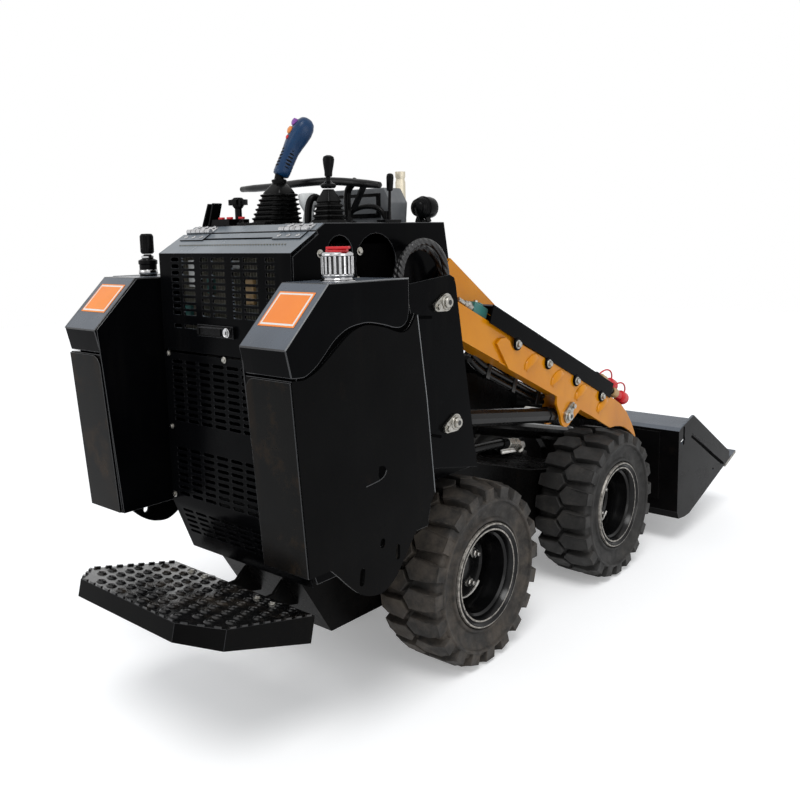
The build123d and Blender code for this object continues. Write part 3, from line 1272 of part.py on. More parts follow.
def tank_caps():
    """Filler cap on the right tank, breather cap with its second cap on the left tank."""
    r = FILLER_RADIUS
    filler = stack([(0, r - 6), (14, r - 6), (14.1, r), (62, r), (68, r - 5)])
    breather = stack([(0, 19), (34, 19), (34.1, 21), (40, 21), (40.1, 8), (54, 8), (54.1, 20), (98, 19)])
    return (Pos(FILLER_X, FILLER_Y, tank_top_z(FILLER_Y) + 3) * filler
            + Pos(-FILLER_X, BREATHER_Y, tank_top_z(BREATHER_Y) + 2) * breather)


# ================================================================ assembly
def wheel_place(side, y, piece):
    """Puts a right-hand wheel piece on its corner; side is 1 right, -1 left."""
    placed = Pos(WHEEL_X, y, AXLE_Z) * piece
    return placed if side == 1 else mirror(placed, about=Plane.YZ)


def build():
    """All nodes by name, in the working frame."""
    motor = wheel_motor()
    parts = {
        "chassis_tub": chassis_tub(),
        "engine_block": engine_block(),
        "console_shell": console_shell(),
        "tower_plates": both_sides(tower_plate()),
        "pivot_pins": both_sides(pivot_pin(PIVOT_Y, PIVOT_Z) + pivot_pin(LIFT_BASE_Y, LIFT_BASE_Z)),
        "hood_door": hood_door(),
        "hood_hinges": both_sides(hood_hinge()),
        "door_latch": door_latch(),
        "rear_grille": rear_grille(),
        "side_tanks": both_sides(side_tank()),
        "side_covers": both_sides(side_cover()),
        "tank_caps": tank_caps(),
        "lever_boots": lever_boots(),
        "control_levers": control_levers(),
        "hand_bar": hand_bar(),
        "dash_housing": dash_housing(),
        "exhaust_pipe": exhaust_pipe(),
        "work_lamp": work_lamp(),
        "wheel_motors": both_sides(motor + Pos(0, WHEELBASE, 0) * motor),
        "lift_arms": both_sides(lift_arm()) + loop_sockets(),
        "arm_gussets": both_sides(arm_gusset()),
        "arm_cross_members": arm_cross_members(),
        "arm_pins": both_sides(arm_stub_pins()) + tilt_base_pin(),
        "hose_guard": hose_guard(),
        "hose_fittings": hose_fittings(),
        "hose_loop_outer": hose_loop(LOOP_OUTER),
        "hose_loop_inner": hose_loop(LOOP_INNER),
        "tilt_barrel": tilt_barrel(),
        "tilt_rod": tilt_rod(),
        "attach_plate": attach_plate(),
        "bucket_pins": bucket_pins(),
        "bucket_shell": bucket_shell(),
        "cutting_edge": cutting_edge(),
        "platform_deck": platform_deck() + platform_lugs(),
        "platform_hinge": platform_hinge(),
    }
    # modelled on the right; the left one is its mirror image
    for name, piece in (("lift_barrel", lift_barrel()), ("lift_rod", lift_rod())):
        parts[name + "_right"] = piece
        parts[name + "_left"] = mirror(piece, about=Plane.YZ)
    one_tyre = tyre()
    one_rim = rim()
    for end, y in (("rear", 0.0), ("front", WHEELBASE)):
        for side_name, side in (("right", 1), ("left", -1)):
            parts["tyre_" + end + "_" + side_name] = wheel_place(side, y, one_tyre)
            parts["rim_" + end + "_" + side_name] = wheel_place(side, y, one_rim)
    return parts


def main():
    parts = build()
    os.makedirs("parts", exist_ok=True)
    boxes = [piece.bounding_box() for piece in parts.values()]
    rear = min(box.min.Y for box in boxes)
    front = max(box.max.Y for box in boxes)
    shift = Pos(0, -(rear + front) / 2, 0)
    for name, piece in parts.items():
        export_step(shift * piece, os.path.join("parts", name + ".step"))


main()
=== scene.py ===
import json
import math
import random

import bmesh
import bpy
from mathutils import Matrix, Vector

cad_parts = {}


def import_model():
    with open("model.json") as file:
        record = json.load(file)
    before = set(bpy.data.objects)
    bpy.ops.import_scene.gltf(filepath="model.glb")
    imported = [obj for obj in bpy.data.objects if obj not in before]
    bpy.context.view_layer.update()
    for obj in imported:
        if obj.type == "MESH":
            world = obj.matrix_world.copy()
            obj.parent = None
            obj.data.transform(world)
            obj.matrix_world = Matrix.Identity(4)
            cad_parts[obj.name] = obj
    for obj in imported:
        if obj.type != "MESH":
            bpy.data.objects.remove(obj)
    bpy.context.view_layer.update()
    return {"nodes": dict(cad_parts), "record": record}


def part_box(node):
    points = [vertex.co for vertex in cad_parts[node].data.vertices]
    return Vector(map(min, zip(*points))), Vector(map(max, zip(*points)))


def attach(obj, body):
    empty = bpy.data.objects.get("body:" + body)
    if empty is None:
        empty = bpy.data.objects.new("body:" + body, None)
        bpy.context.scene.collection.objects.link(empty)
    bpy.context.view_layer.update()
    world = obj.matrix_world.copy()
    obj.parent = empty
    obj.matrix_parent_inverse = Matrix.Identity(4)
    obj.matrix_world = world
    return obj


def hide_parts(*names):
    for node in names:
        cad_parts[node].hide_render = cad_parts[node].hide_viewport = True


# Looks of the stand-on mini skid steer loader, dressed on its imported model.
# Lengths in the tables are millimetres: X to the machine's right, Y forwards
# from the rear axle, Z up from the floor.

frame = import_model()
RECORD = frame["record"]
SCENE = bpy.context.scene
MM = 0.001
SIDES = (1, -1)
HANDS = ((1, "right"), (-1, "left"))
RIGHT = Vector((1, 0, 0))
UP = Vector((0, 0, 1))
AHEAD = Vector((0, 1, 0))
REARWARDS = -AHEAD


def middle(node):
    low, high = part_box(node)
    return (low + high) / 2


AXLE = middle("rim_rear_right")
NODE_BODY = {n: b for b, nodes in RECORD["behaviour"]["bodies"].items() for n in nodes}
SLOTS = {part["node"]: part["material_slot"] for part in RECORD["subparts"]}
JOINTS = {joint["name"]: joint for joint in RECORD["behaviour"]["joints"]}


def at(x, y, z):
    """A point in metres from millimetres, Y counted from the rear axle."""
    return Vector((x * MM, y * MM + AXLE.y, z * MM))


def from_axle(y):
    """A Y in metres as millimetres from the rear axle."""
    return (y - AXLE.y) / MM


def turned(angle, axis):
    return Matrix.Rotation(angle, 4, axis)


def turning(axis):
    """A rotation that lays +Z along the axis."""
    return Vector(axis).to_track_quat("Z", "Y").to_matrix().to_4x4()


# ---------------------------------------------------------------- materials
class Nodes:
    """Shader nodes, whose inputs are given as values or as links."""

    def __init__(self, tree):
        self.tree = tree

    def add(self, kind, inputs=(), **settings):
        made = self.tree.nodes.new("ShaderNode" + kind)
        for key, value in settings.items():
            setattr(made, key, value)
        for key, value in dict(inputs).items():
            self.feed(made.inputs[key], value)
        return made

    def feed(self, socket, value):
        if isinstance(value, bpy.types.NodeSocket):
            self.tree.links.new(value, socket)
        elif socket.type == "RGBA":
            socket.default_value = (*value, 1)
        else:
            socket.default_value = value

    def math(self, operation, a, b):
        return self.add("Math", {0: a, 1: b}, operation=operation).outputs[0]

    def seen(self):
        """1 for rays from the camera and in mirrors, else 0, and the light path's outputs."""
        rays = self.add("LightPath").outputs
        return self.math("MAXIMUM", rays["Is Camera Ray"], rays["Is Glossy Ray"]), rays


class Surface(Nodes):
    """A procedural material whose patterns lie in the object's own metres."""

    def __init__(self, name):
        self.material = bpy.data.materials.new(name)
        self.material.use_nodes = True
        super().__init__(self.material.node_tree)
        self.shader = self.tree.nodes["Principled BSDF"]
        self.place = self.add("TexCoord").outputs["Object"]

    def noise(self, scale, detail=4, rough=0.55, stretch=None):
        place = self.place
        if stretch:
            place = self.add("Mapping", {"Scale": stretch, "Vector": place}).outputs["Vector"]
        values = {"Scale": scale, "Detail": detail, "Roughness": rough, "Vector": place}
        return self.add("TexNoise", values).outputs["Fac"]

    def spread(self, value, low, high, to_low=0, to_high=1):
        values = {"Value": value, "From Min": low, "From Max": high, "To Min": to_low, "To Max": to_high}
        return self.add("MapRange", values).outputs["Result"]

    def mix(self, factor, a, b):
        """Mixes two colours: their sockets are 6 and 7, and the result is output 2."""
        return self.add("Mix", {0: factor, 6: a, 7: b}, data_type="RGBA").outputs[2]

    def bump(self, value, depth, **more):
        return self.add("Bump", {"Strength": 1, "Distance": depth, "Height": value, **more}).outputs["Normal"]

    def done(self, colour, rough, **more):
        """The material, with its colour, roughness and the shader's other inputs."""
        for name, value in {"Base_Color": colour, "Roughness": rough, **more}.items():
            self.feed(self.shader.inputs[name.replace("_", " ")], value)
        return self.material


def coated(name, colour, deep, dust, rough, dust_from=0.5, specular=0.5, low_dust=0, wave=0.00025):
    """Painted sheet: uneven colour, dust, faint run marks, orange peel and waviness."""
    s = Surface(name)
    tone = s.mix(s.spread(s.noise(7), 0.35, 0.65), colour, deep)
    cloud = s.spread(s.noise(11, 8, 0.7), dust_from, dust_from + 0.3)
    if low_dust:
        height = s.add("SeparateXYZ", {0: s.place}).outputs["Z"]
        reach = s.spread(height, 0.55, 0.1, 0, low_dust)
        cloud = s.math("MAXIMUM", cloud, s.math("MULTIPLY", reach, s.spread(s.noise(30, 6), 0.3, 0.7)))
    runs = s.spread(s.noise(14, 6, 0.6, (1, 1, 0.12)), 0.56, 0.85, 0, 0.5)
    tone = s.mix(s.math("MAXIMUM", cloud, runs), tone, dust)
    specks = s.spread(s.noise(420, 2), 0.70, 0.78, 0, 0.35)
    peel = s.bump(s.noise(620, 2), 0.00004)
    return s.done(s.mix(specks, tone, dust), s.spread(s.noise(16, 6, 0.65), 0.3, 0.7, *rough),
                  Normal=s.bump(s.noise(9, 2), wave, Normal=peel), Specular_IOR_Level=specular)


def metal(name, colour, dull, rough, spots=0.5):
    """Bare or plated metal with fine grain, and dull spots."""
    s = Surface(name)
    dirt = s.spread(s.noise(90, 6, 0.7), spots, spots + 0.25)
    return s.done(s.mix(dirt, colour, dull), s.spread(s.noise(240, 4, 0.6), 0.3, 0.7, *rough),
                  Normal=s.bump(s.noise(700, 3, 0.5), 0.00003), Metallic=1)


def moulded(name, colour, wear_and_sheen, rough, grain=900, depth=0.00008, specular=0.4):
    """Plastic or rubber with a fine moulded grain and rubbed, dusty patches."""
    s = Surface(name)
    patch = s.spread(s.noise(24, 6, 0.6), 0.5, 0.8)
    return s.done(s.mix(patch, colour, wear_and_sheen), s.spread(s.noise(60), 0.3, 0.7, *rough),
                  Normal=s.bump(s.noise(grain, 3), depth), Specular_IOR_Level=specular)


def tread(name, rubber, scuffed, dust, dust_share):
    """Tyre rubber: scuffed faces, dust in patches, small cuts and pores."""
    s = Surface(name)
    tone = s.mix(s.spread(s.noise(18, 6, 0.6), 0.4, 0.65), rubber, scuffed)
    cloud = s.spread(s.noise(9, 10, 0.75), 0.62 - dust_share * 0.3, 0.86 - dust_share * 0.3)
    tone = s.mix(s.math("MULTIPLY", cloud, 0.75), tone, dust)
    grit = s.spread(s.noise(260, 4, 0.7), 0.58, 0.74, 0, 0.35 + 0.4 * dust_share)
    pores = s.bump(s.noise(420, 5, 0.7), 0.0004)
    return s.done(s.mix(grit, tone, dust), s.spread(s.noise(40, 5), 0.3, 0.7, 0.55, 0.85),
                  Normal=s.bump(s.noise(55, 6, 0.7), 0.0012, Normal=pores), Specular_IOR_Level=0.35)


def spiral_wrap(name):
    """Black hose inside a spiral plastic wrap."""
    s = Surface(name)
    wave = s.add("TexWave", {"Scale": 38, "Distortion": 0.4, "Vector": s.place}, wave_type="BANDS",
                 bands_direction="DIAGONAL").outputs["Fac"]
    return s.done(s.mix(wave, (0.0025, 0.0025, 0.003), (0.013, 0.013, 0.014)),
                  s.spread(s.noise(80), 0.3, 0.7, 0.35, 0.55), Normal=s.bump(wave, 0.0015))


# paints: colour, its deeper shade, dust, roughness from and to, start of dust, specular level
BLACK = coated("black_paint", (0.0012, 0.0013, 0.0016), (0.002, 0.0021, 0.0025), (0.008, 0.0075, 0.007),
               (0.12, 0.26), 0.66, 0.022)
BLACK_LOW = coated("black_paint_dusty", (0.0015, 0.0015, 0.0016), (0.0026, 0.0026, 0.0026),
                   (0.010, 0.008, 0.0065), (0.18, 0.34), 0.62, 0.03, 0.3)
COVER = coated("black_cover_paint", (0.0022, 0.0022, 0.0023), (0.0032, 0.0032, 0.0033),
               (0.009, 0.0065, 0.005), (0.16, 0.32), 0.64, 0.025, 0.2)
SMUDGED = coated("black_cover_smudged", (0.002, 0.002, 0.002), (0.0035, 0.0034, 0.003),
                 (0.030, 0.017, 0.007), (0.12, 0.3), 0.52, 0.05, 0.35)
# the black paint made lighter and bluish: a painted sky reflection for upward faces
PAINTED_SHEEN = coated("black_paint_painted_sky_sheen", (0.058, 0.070, 0.088), (0.080, 0.095, 0.118),
               (0.12, 0.125, 0.13), (0.2, 0.36), 0.66)
# brighter still: a painted sky reflection for the slanted tops of the console and the door
PAINTED_SKY_SHEEN = coated("black_paint_painted_bright_sheen", (0.105, 0.125, 0.145), (0.15, 0.175, 0.20),
                   (0.16, 0.17, 0.18), (0.14, 0.3), 0.66)
# a painted highlight: bright lines along edges of the tanks and covers
PAINTED_EDGE_HIGHLIGHT = coated("black_edge_painted_highlight", (0.10, 0.105, 0.11), (0.17, 0.175, 0.18), (0.20, 0.18, 0.15),
                    (0.14, 0.3), 0.6)
# a painted sheen for the rounded edges of black parts: lighter than the paint, as if they caught the light
PAINTED_EDGE_SHEEN = coated("black_edge_painted_sheen", (0.007, 0.0075, 0.009), (0.014, 0.015, 0.018), (0.06, 0.06, 0.06),
                   (0.16, 0.3), 0.66)
GLOSS = coated("rim_gloss_black", (0.0016, 0.0016, 0.0018), (0.003, 0.003, 0.0032),
               (0.014, 0.012, 0.010), (0.14, 0.28), 0.6, 0.22)
BARREL = coated("barrel_black", (0.002, 0.002, 0.0022), (0.0035, 0.0035, 0.0037), (0.012, 0.009, 0.007),
                (0.18, 0.3), 0.6, 0.16)
ORANGE = coated("orange_paint", (0.60, 0.225, 0.003), (0.52, 0.18, 0.0025), (0.36, 0.12, 0.006),
                (0.14, 0.26), 0.72, 0.22)
BUCKET_PAINT = coated("bucket_paint", (0.0018, 0.0018, 0.002), (0.0032, 0.0032, 0.0035),
                      (0.012, 0.009, 0.007), (0.16, 0.32), 0.56, 0.04, 0.2)
DECK_PAINT = coated("deck_paint", (0.0015, 0.0015, 0.0016), (0.0028, 0.0028, 0.0028),
                    (0.012, 0.010, 0.008), (0.16, 0.3), 0.56, 0.03, 0.1)
DECK_TOP = coated("deck_top", (0.004, 0.004, 0.0045), (0.009, 0.009, 0.009), (0.075, 0.06, 0.045),
                  (0.10, 0.30), 0.54, 0.45, wave=0.0012)
LABEL = coated("blank_plate_orange", (0.86, 0.25, 0.025), (0.80, 0.21, 0.02), (0.6, 0.25, 0.08),
               (0.3, 0.45), 0.7)
LABEL_EDGE = coated("blank_plate_white", (0.78, 0.77, 0.74), (0.70, 0.69, 0.66), (0.45, 0.43, 0.4),
                    (0.3, 0.5), 0.66)
IRON = coated("cast_iron", (0.05, 0.05, 0.05), (0.08, 0.075, 0.07), (0.16, 0.13, 0.10), (0.5, 0.75))
TEAL = coated("teal_clamp", (0.02, 0.16, 0.14), (0.015, 0.11, 0.10), (0.10, 0.13, 0.12), (0.3, 0.5))
# metals: colour, dull spots, roughness from and to, start of the spots
CHROME = metal("chrome", (0.52, 0.52, 0.53), (0.20, 0.19, 0.18), (0.10, 0.24))
ZINC = metal("zinc_plate", (0.40, 0.39, 0.36), (0.16, 0.14, 0.11), (0.22, 0.42), 0.46)
DARK_STEEL = metal("dark_steel", (0.05, 0.05, 0.05), (0.02, 0.02, 0.018), (0.25, 0.45))
STEEL = metal("bare_steel", (0.52, 0.51, 0.49), (0.20, 0.16, 0.12), (0.3, 0.55))
WORN = metal("worn_steel", (0.36, 0.34, 0.31), (0.06, 0.055, 0.05), (0.35, 0.6), 0.42)
CREAM = metal("cream_pipe", (0.60, 0.55, 0.44), (0.32, 0.27, 0.2), (0.4, 0.6), 0.6)
# plastics and rubber: colour, rubbed colour, roughness from and to, grain, its depth, specular level
# near-black for painted shade in holes, grooves, gaps and behind openings
PAINTED_SHADE = moulded("shadow_black", (0.0006, 0.0006, 0.0007), (0.0012, 0.0012, 0.0012), (0.8, 0.95), specular=0.02)
PLASTIC = moulded("black_plastic", (0.002, 0.002, 0.0022), (0.006, 0.006, 0.0065), (0.16, 0.34),
                  specular=0.07)
RUBBER = moulded("boot_rubber", (0.002, 0.002, 0.002), (0.006, 0.006, 0.006), (0.18, 0.34), 500,
                 specular=0.09)
FOAM = moulded("bar_foam", (0.0025, 0.0025, 0.0027), (0.007, 0.007, 0.007), (0.22, 0.4), 700, 0.0001, 0.2)
BLUE = moulded("grip_blue", (0.002, 0.026, 0.080), (0.006, 0.045, 0.115), (0.25, 0.42), 1500, 0.0001, 0.25)
RED = moulded("red_cap", (0.55, 0.012, 0.018), (0.40, 0.01, 0.016), (0.3, 0.5), 400)
AMBER = moulded("button_orange", (0.75, 0.25, 0.05), (0.6, 0.2, 0.05), (0.3, 0.45))
PURPLE = moulded("button_purple", (0.20, 0.05, 0.30), (0.14, 0.04, 0.2), (0.3, 0.45))
TAN = moulded("tan_sleeve", (0.42, 0.27, 0.12), (0.30, 0.19, 0.09), (0.35, 0.55))
GREY = moulded("grey_housing", (0.10, 0.105, 0.11), (0.16, 0.16, 0.165), (0.35, 0.55))
CLEAR = moulded("milky_funnel", (0.62, 0.63, 0.62), (0.5, 0.5, 0.5), (0.25, 0.4))
LENS = moulded("lamp_lens", (0.55, 0.57, 0.6), (0.45, 0.46, 0.5), (0.05, 0.12), 60, 0.0004, 0.8)
CORE = moulded("radiator_core", (0.16, 0.15, 0.12), (0.08, 0.11, 0.08), (0.5, 0.7), 300, 0.0004)
HOSE = spiral_wrap("spiral_wrap")
# rubber, scuffed, dust, share of dust
TYRES = {
    "rear": tread("tyre_rear", (0.016, 0.0145, 0.013), (0.034, 0.030, 0.026), (0.090, 0.072, 0.055), 0.55),
    "front": tread("tyre_front", (0.013, 0.0125, 0.012), (0.027, 0.0255, 0.024), (0.062, 0.055, 0.047), 0.32),
}


# ---------------------------------------------------------------- making pieces
def add_finishes(mesh, finish):
    """Puts one finish, or a tuple of them, into a new mesh's slots."""
    for one in finish if isinstance(finish, tuple) else (finish,):
        mesh.materials.append(one)


def keep(mesh, name, finish, body, slot, replaces=(), smooth=35):
    """A mesh in the machine's frame becomes a piece that rides on a body."""
    piece = bpy.data.objects.new(name, mesh)
    SCENE.collection.objects.link(piece)
    if not mesh.materials:
        add_finishes(mesh, finish)
    if smooth:
        mesh.shade_smooth()
        mesh.set_sharp_from_angle(angle=math.radians(smooth))
    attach(piece, body)
    if replaces:
        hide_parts(*replaces)
    return piece


def evaluated(data, name, modifiers=()):
    """The mesh that an object of this data shows once its modifiers have run."""
    holder = bpy.data.objects.new(name + "_raw", data)
    SCENE.collection.objects.link(holder)
    for kind, values in dict(modifiers).items():
        modifier = holder.modifiers.new(kind.lower(), kind)
        for key, value in values.items():
            setattr(modifier, key, value)
    bpy.context.view_layer.update()
    made = bpy.data.meshes.new_from_object(holder.evaluated_get(bpy.context.evaluated_depsgraph_get()))
    made.name = name
    bpy.data.objects.remove(holder)
    return made


def finished(bm, name, finish, body, slot, bevel=0, segments=2, angle=30, edge=-1, **more):
    """Rounds the sharp edges of a bmesh, in mm, and keeps it; edge is the slot of their finish."""
    mesh = bpy.data.meshes.new(name)
    bmesh.ops.recalc_face_normals(bm, faces=bm.faces)
    bm.to_mesh(mesh)
    bm.free()
    add_finishes(mesh, finish)
    if bevel:
        mesh.shade_smooth()
        mesh = evaluated(mesh, name, {
            "BEVEL": {"width": bevel * MM, "segments": segments, "limit_method": "ANGLE",
                      "angle_limit": math.radians(angle), "use_clamp_overlap": True, "material": edge},
            "WEIGHTED_NORMAL": {"mode": "FACE_AREA", "weight": 100}})
        more["smooth"] = 0
    return keep(mesh, name, finish, body, slot, **more)


def build(name, finish, body, slot, parts, *edges, **more):
    """A piece from rows of a maker below and its values; edges are finished's bevel and so on."""
    bm = bmesh.new()
    for make, *values in parts:
        make(bm, *values)
    finished(bm, name, finish, body, slot, *edges, **more)


def skin(bm, loops, ends=(0, -1), index=0, closed=True):
    """Joins loops of vertices by quads, and fills the loops named as ends."""
    count = len(loops[0])
    for low, high in zip(loops, loops[1:]):
        for i in range(count if closed else count - 1):
            j = (i + 1) % count
            bm.faces.new((low[i], low[j], high[j], high[i])).material_index = index
    for end in ends:
        bm.faces.new(loops[end]).material_index = index


def lathe(bm, rings, start, axis, sides=32, index=0, ends=(0, -1)):
    """Adds a turned shape: (along, radius) rings in mm from a point, along an axis."""
    turn = turning(axis)
    angles = [2 * math.pi * i / sides for i in range(sides)]
    skin(bm, [[bm.verts.new(Vector(start) + turn @ (Vector((r * math.cos(a), r * math.sin(a), along)) * MM))
               for a in angles] for along, r in rings], ends, index)


def box(bm, centre, size, turn=None, index=0):
    """Adds a box: centre in metres, size in mm, turned by a matrix about its centre."""
    grow = Matrix.Diagonal((*(s * MM for s in size), 1))
    place = Matrix.Translation(centre) @ (turn or Matrix()) @ grow
    made = bmesh.ops.create_cube(bm, size=1, matrix=place)
    for face in {f for v in made["verts"] for f in v.link_faces}:
        face.material_index = index


def plate(bm, outline, low, high, index=0, ends=(0, -1)):
    """Adds a plate along X from (y, z) corners in mm."""
    skin(bm, [[bm.verts.new(at(x, y, z)) for y, z in outline] for x in (low, high)], ends, index)


def plates(bm, outline, low, high, index=0):
    """Adds the same plate on the right and on the left."""
    for side in SIDES:
        plate(bm, outline, side * low, side * high, index)


def rod(bm, points, radius, over=0, index=0):
    """Adds a thin rod through points in metres; each stretch runs on by a little."""
    for start, end in zip(points, points[1:]):
        run = end - start
        lathe(bm, [(-over, radius), (run.length / MM + over, radius)], start, run, 8, index)


def bolt(bm, spot, axis, radius=7, head=5):
    """Adds a hexagon bolt head with its washer and a rounded top."""
    lathe(bm, [(0, radius * 1.45), (1.6, radius * 1.45), (1.9, radius * 1.3)], spot, axis, 20)
    lathe(bm, [(1.4, radius), (head + 0.2, radius), (head + 1, radius * 0.82)], spot, axis, 6)


def button(bm, spot, axis, radius=6, head=3):
    """Adds a domed socket screw with its recess ring."""
    lathe(bm, [(0, radius), (head * 0.5, radius), (head, radius * 0.62), (head, radius * 0.38),
               (head * 0.4, radius * 0.34)], spot, axis, 16)


def tube(name, points, radius, steps=6, rounding=3):
    """A NURBS tube along points in metres."""
    curve = bpy.data.curves.new(name + "_line", "CURVE")
    curve.dimensions = "3D"
    spline = curve.splines.new("NURBS")
    spline.points.add(len(points) - 1)
    for point, spot in zip(spline.points, points):
        point.co = (*spot, 1)
    spline.order_u = 3
    spline.use_endpoint_u = True
    curve.resolution_u = steps
    curve.bevel_depth = radius
    curve.bevel_resolution = rounding
    curve.use_fill_caps = True
    return curve


def pipe(name, points, radius, finish, body, slot, rounding=3):
    """A bent tube of a radius in mm, as a piece."""
    mesh = evaluated(tube(name, points, radius * MM, rounding=rounding), name)
    keep(mesh, name, finish, body, slot, smooth=60)


def ring_stack(bm, rows, sides=24, power=2.6):
    """Rounded cross-sections: (centre, half width, half depth, turn) rows, halves in mm."""
    loops = []
    for centre, wide, deep, turn in rows:
        loop = []
        for i in range(sides):
            a = 2 * math.pi * i / sides
            x, y = (math.copysign(abs(c) ** (2 / power), c) for c in (math.cos(a), math.sin(a)))
            loop.append(bm.verts.new(centre + turn @ (Vector((x * wide, y * deep, 0)) * MM)))
        loops.append(loop)
    skin(bm, loops)


def round_hole_ends(bm, radius):
    """Fills the inner corners of slots cut through a thin sheet with concave fillets."""
    corners = []
    for edge in bm.edges:
        if 3.0 < edge.calc_length() / MM < 5.5 and len(edge.link_faces) == 2:
            if not edge.is_convex and edge.calc_face_angle() > 1.2:
                ends = [vert.co.copy() for vert in edge.verts]
                axis = (ends[1] - ends[0]).normalized()
                ways = [face.calc_center_median() - ends[0] for face in edge.link_faces]
                corners.append((ends, [(way - axis * way.dot(axis)).normalized() for way in ways]))
    arc = [math.pi / 2 * k / 4 for k in range(5)]
    for ends, (u, v) in corners:
        skin(bm, [[bm.verts.new(end + way * radius * MM) for way in
                   (Vector(), *(u + v - v * math.cos(a) - u * math.sin(a) for a in arc))]
                  for end in ends])


def dressed(node, finish, width=1.2, segments=2, top=None, wear_and_sheen=None, reshape=None, hole_ends=0):
    """A CAD node with rounded edges; upward faces may take a painted sky sheen, and the rounded edges a
    painted edge sheen, as finishes of their own.
    """
    bm = bmesh.new()
    bm.from_mesh(frame["nodes"][node].data)
    bmesh.ops.remove_doubles(bm, verts=bm.verts, dist=0.00002)
    if reshape:
        for vert in bm.verts:
            vert.co = reshape(vert.co)
    bmesh.ops.dissolve_limit(bm, angle_limit=math.radians(0.8), verts=bm.verts, edges=bm.edges)
    if hole_ends:
        round_hole_ends(bm, hole_ends)
    bm.normal_update()
    # upward faces go to slot 1, where a top finish puts a painted sky sheen
    for face in bm.faces:
        face.material_index = 1 if face.normal.z > 0.4 else 0
    # slot 2 is the finish of the rounded edges, a painted edge sheen where one is given
    finished(bm, node + "_skin", (finish, top or finish, wear_and_sheen or finish), NODE_BODY[node], SLOTS[node],
             width, segments, 28, 2 if wear_and_sheen else -1, replaces=(node,))


# ---------------------------------------------------------------- wheels
TYRE_OUT = 228.3     # over the lugs
LUGS = 20
# along the axle from the middle plane, radius: the outer half of the tyre's wall
WALL = ((69, 118), (72, 131.5), (77, 133), (80, 136), (78, 141), (72.5, 144.5), (71, 152), (72, 165),
        (76, 176), (80, 181), (86, 183), (88, 186.5), (86, 190), (78, 193), (74, 203), (66, 207), (40, 207.5))
# across the tread, half length round the tyre: outline of one lug of the outer row
LUG_PLAN = ((85, -20), (85, 20), (62, 24), (12, 28), (-8, 0), (12, -28), (62, -24))
# radius, narrowing, and drop at the shoulder of a lug's foot, bevel and face
LUG_LEVELS = ((192, 0, 4), (TYRE_OUT - 3.5, 1.5, 5), (TYRE_OUT, 3, 11))
# along the axle from the middle plane, radius: the rim's outer half, lip to disc
RIM = ((69, 126), (77, 130.5), (82, 129), (83, 125.5), (79, 122.5), (76, 118), (79, 115), (79, 111),
       (72, 107), (63, 104.5), (58, 99), (30, 95), (24, 92), (-4, 90.5), (-10, 86), (-12.5, 78),
       (-12.5, 49), (-8, 44), (4, 40), (9, 34), (12, 26), (12, 8))
RIM_INSIDE = ((-76, 129.5), (-79, 124), (-71, 112), (-60, 100), (-20, 95), (-20, 60))
RIM_SIDES = 80
WORN_BANDS = (1, 2, 6)
RIM_BOLTS = 5
BOLT_CIRCLE = 63
GUARD_ROD = 74


def round_axle(x, radius, a):
    return Vector((x, radius * math.cos(a), radius * math.sin(a))) * MM


def wheel_lug(bm, side, turn_degrees, row):
    """One curved lug with its bevelled shoulder; row 1 is outer, -1 inner."""
    loops = []
    for radius, shrink, drop in LUG_LEVELS:
        loop = []
        for across, half in LUG_PLAN:
            x = across - shrink if across > 50 else across + shrink if across < 0 else across
            r = (radius - drop if across > 80 else radius) * MM
            a = (half - shrink * ((half > 0) - (half < 0))) / TYRE_OUT + math.radians(turn_degrees)
            loop.append(bm.verts.new((side * x * row * MM, r * math.sin(a), r * math.cos(a))))
        loops.append(loop)
    skin(bm, loops, (-1,))


def wheel(end, hand):
    """A tyre with two rows of lugs; a rim with its nuts and its valve's guard rod."""
    tyre = "tyre_" + end + "_" + hand
    rim = "rim_" + end + "_" + hand
    side = 1 if hand == "right" else -1
    axis = RIGHT * side
    bm = bmesh.new()
    lathe(bm, [*((-x, r) for x, r in WALL), *reversed(WALL)], (0, 0, 0), axis, 96, ends=())
    for i in range(LUGS):
        wheel_lug(bm, side, i * 360 / LUGS, 1)
        wheel_lug(bm, side, (i + 0.5) * 360 / LUGS, -1)
    bmesh.ops.translate(bm, verts=bm.verts, vec=middle(rim))
    finished(bm, tyre + "_rubber", TYRES[end], NODE_BODY[tyre], "tyre", 2.2, angle=32, replaces=(tyre,))
    bm = bmesh.new()
    lathe(bm, RIM, (0, 0, 0), axis, RIM_SIDES, ends=(-1,))
    bm.faces.ensure_lookup_table()
    for band in WORN_BANDS:
        for face in bm.faces[band * RIM_SIDES:(band + 1) * RIM_SIDES]:
            face.material_index = 1
    lathe(bm, RIM_INSIDE, (0, 0, 0), axis, 48, ends=())
    for i in range(RIM_BOLTS):
        spot = round_axle(side * -12.5, BOLT_CIRCLE, 2 * math.pi * i / RIM_BOLTS + 0.3)
        for sides, *rings in ((20, (0, 13), (3, 13), (3.4, 10)), (6, (2, 10.5), (12, 10.5), (13.5, 8.5)),
                              (12, (10, 6), (21, 6), (22.5, 4.5))):
            lathe(bm, rings, spot, axis, sides, 2)
    rod(bm, [round_axle(side * 10, GUARD_ROD, math.radians(200 + 9 * i)) for i in range(14)], 3.2, 0.6, 2)
    bmesh.ops.translate(bm, verts=bm.verts, vec=middle(rim))
    finished(bm, rim + "_steel", (GLOSS, WORN, STEEL), NODE_BODY[rim], SLOTS[rim], replaces=(rim,), smooth=32)


for end in TYRES:
    for hand in ("left", "right"):
        wheel(end, hand)


# ---------------------------------------------------------------- dressed CAD nodes
TUB_FLOOR = 171
TUB_REAR = -200
DECK_WIDEN = 1.06
HUMP_TOP = 941
HUMP_FRONT = -52


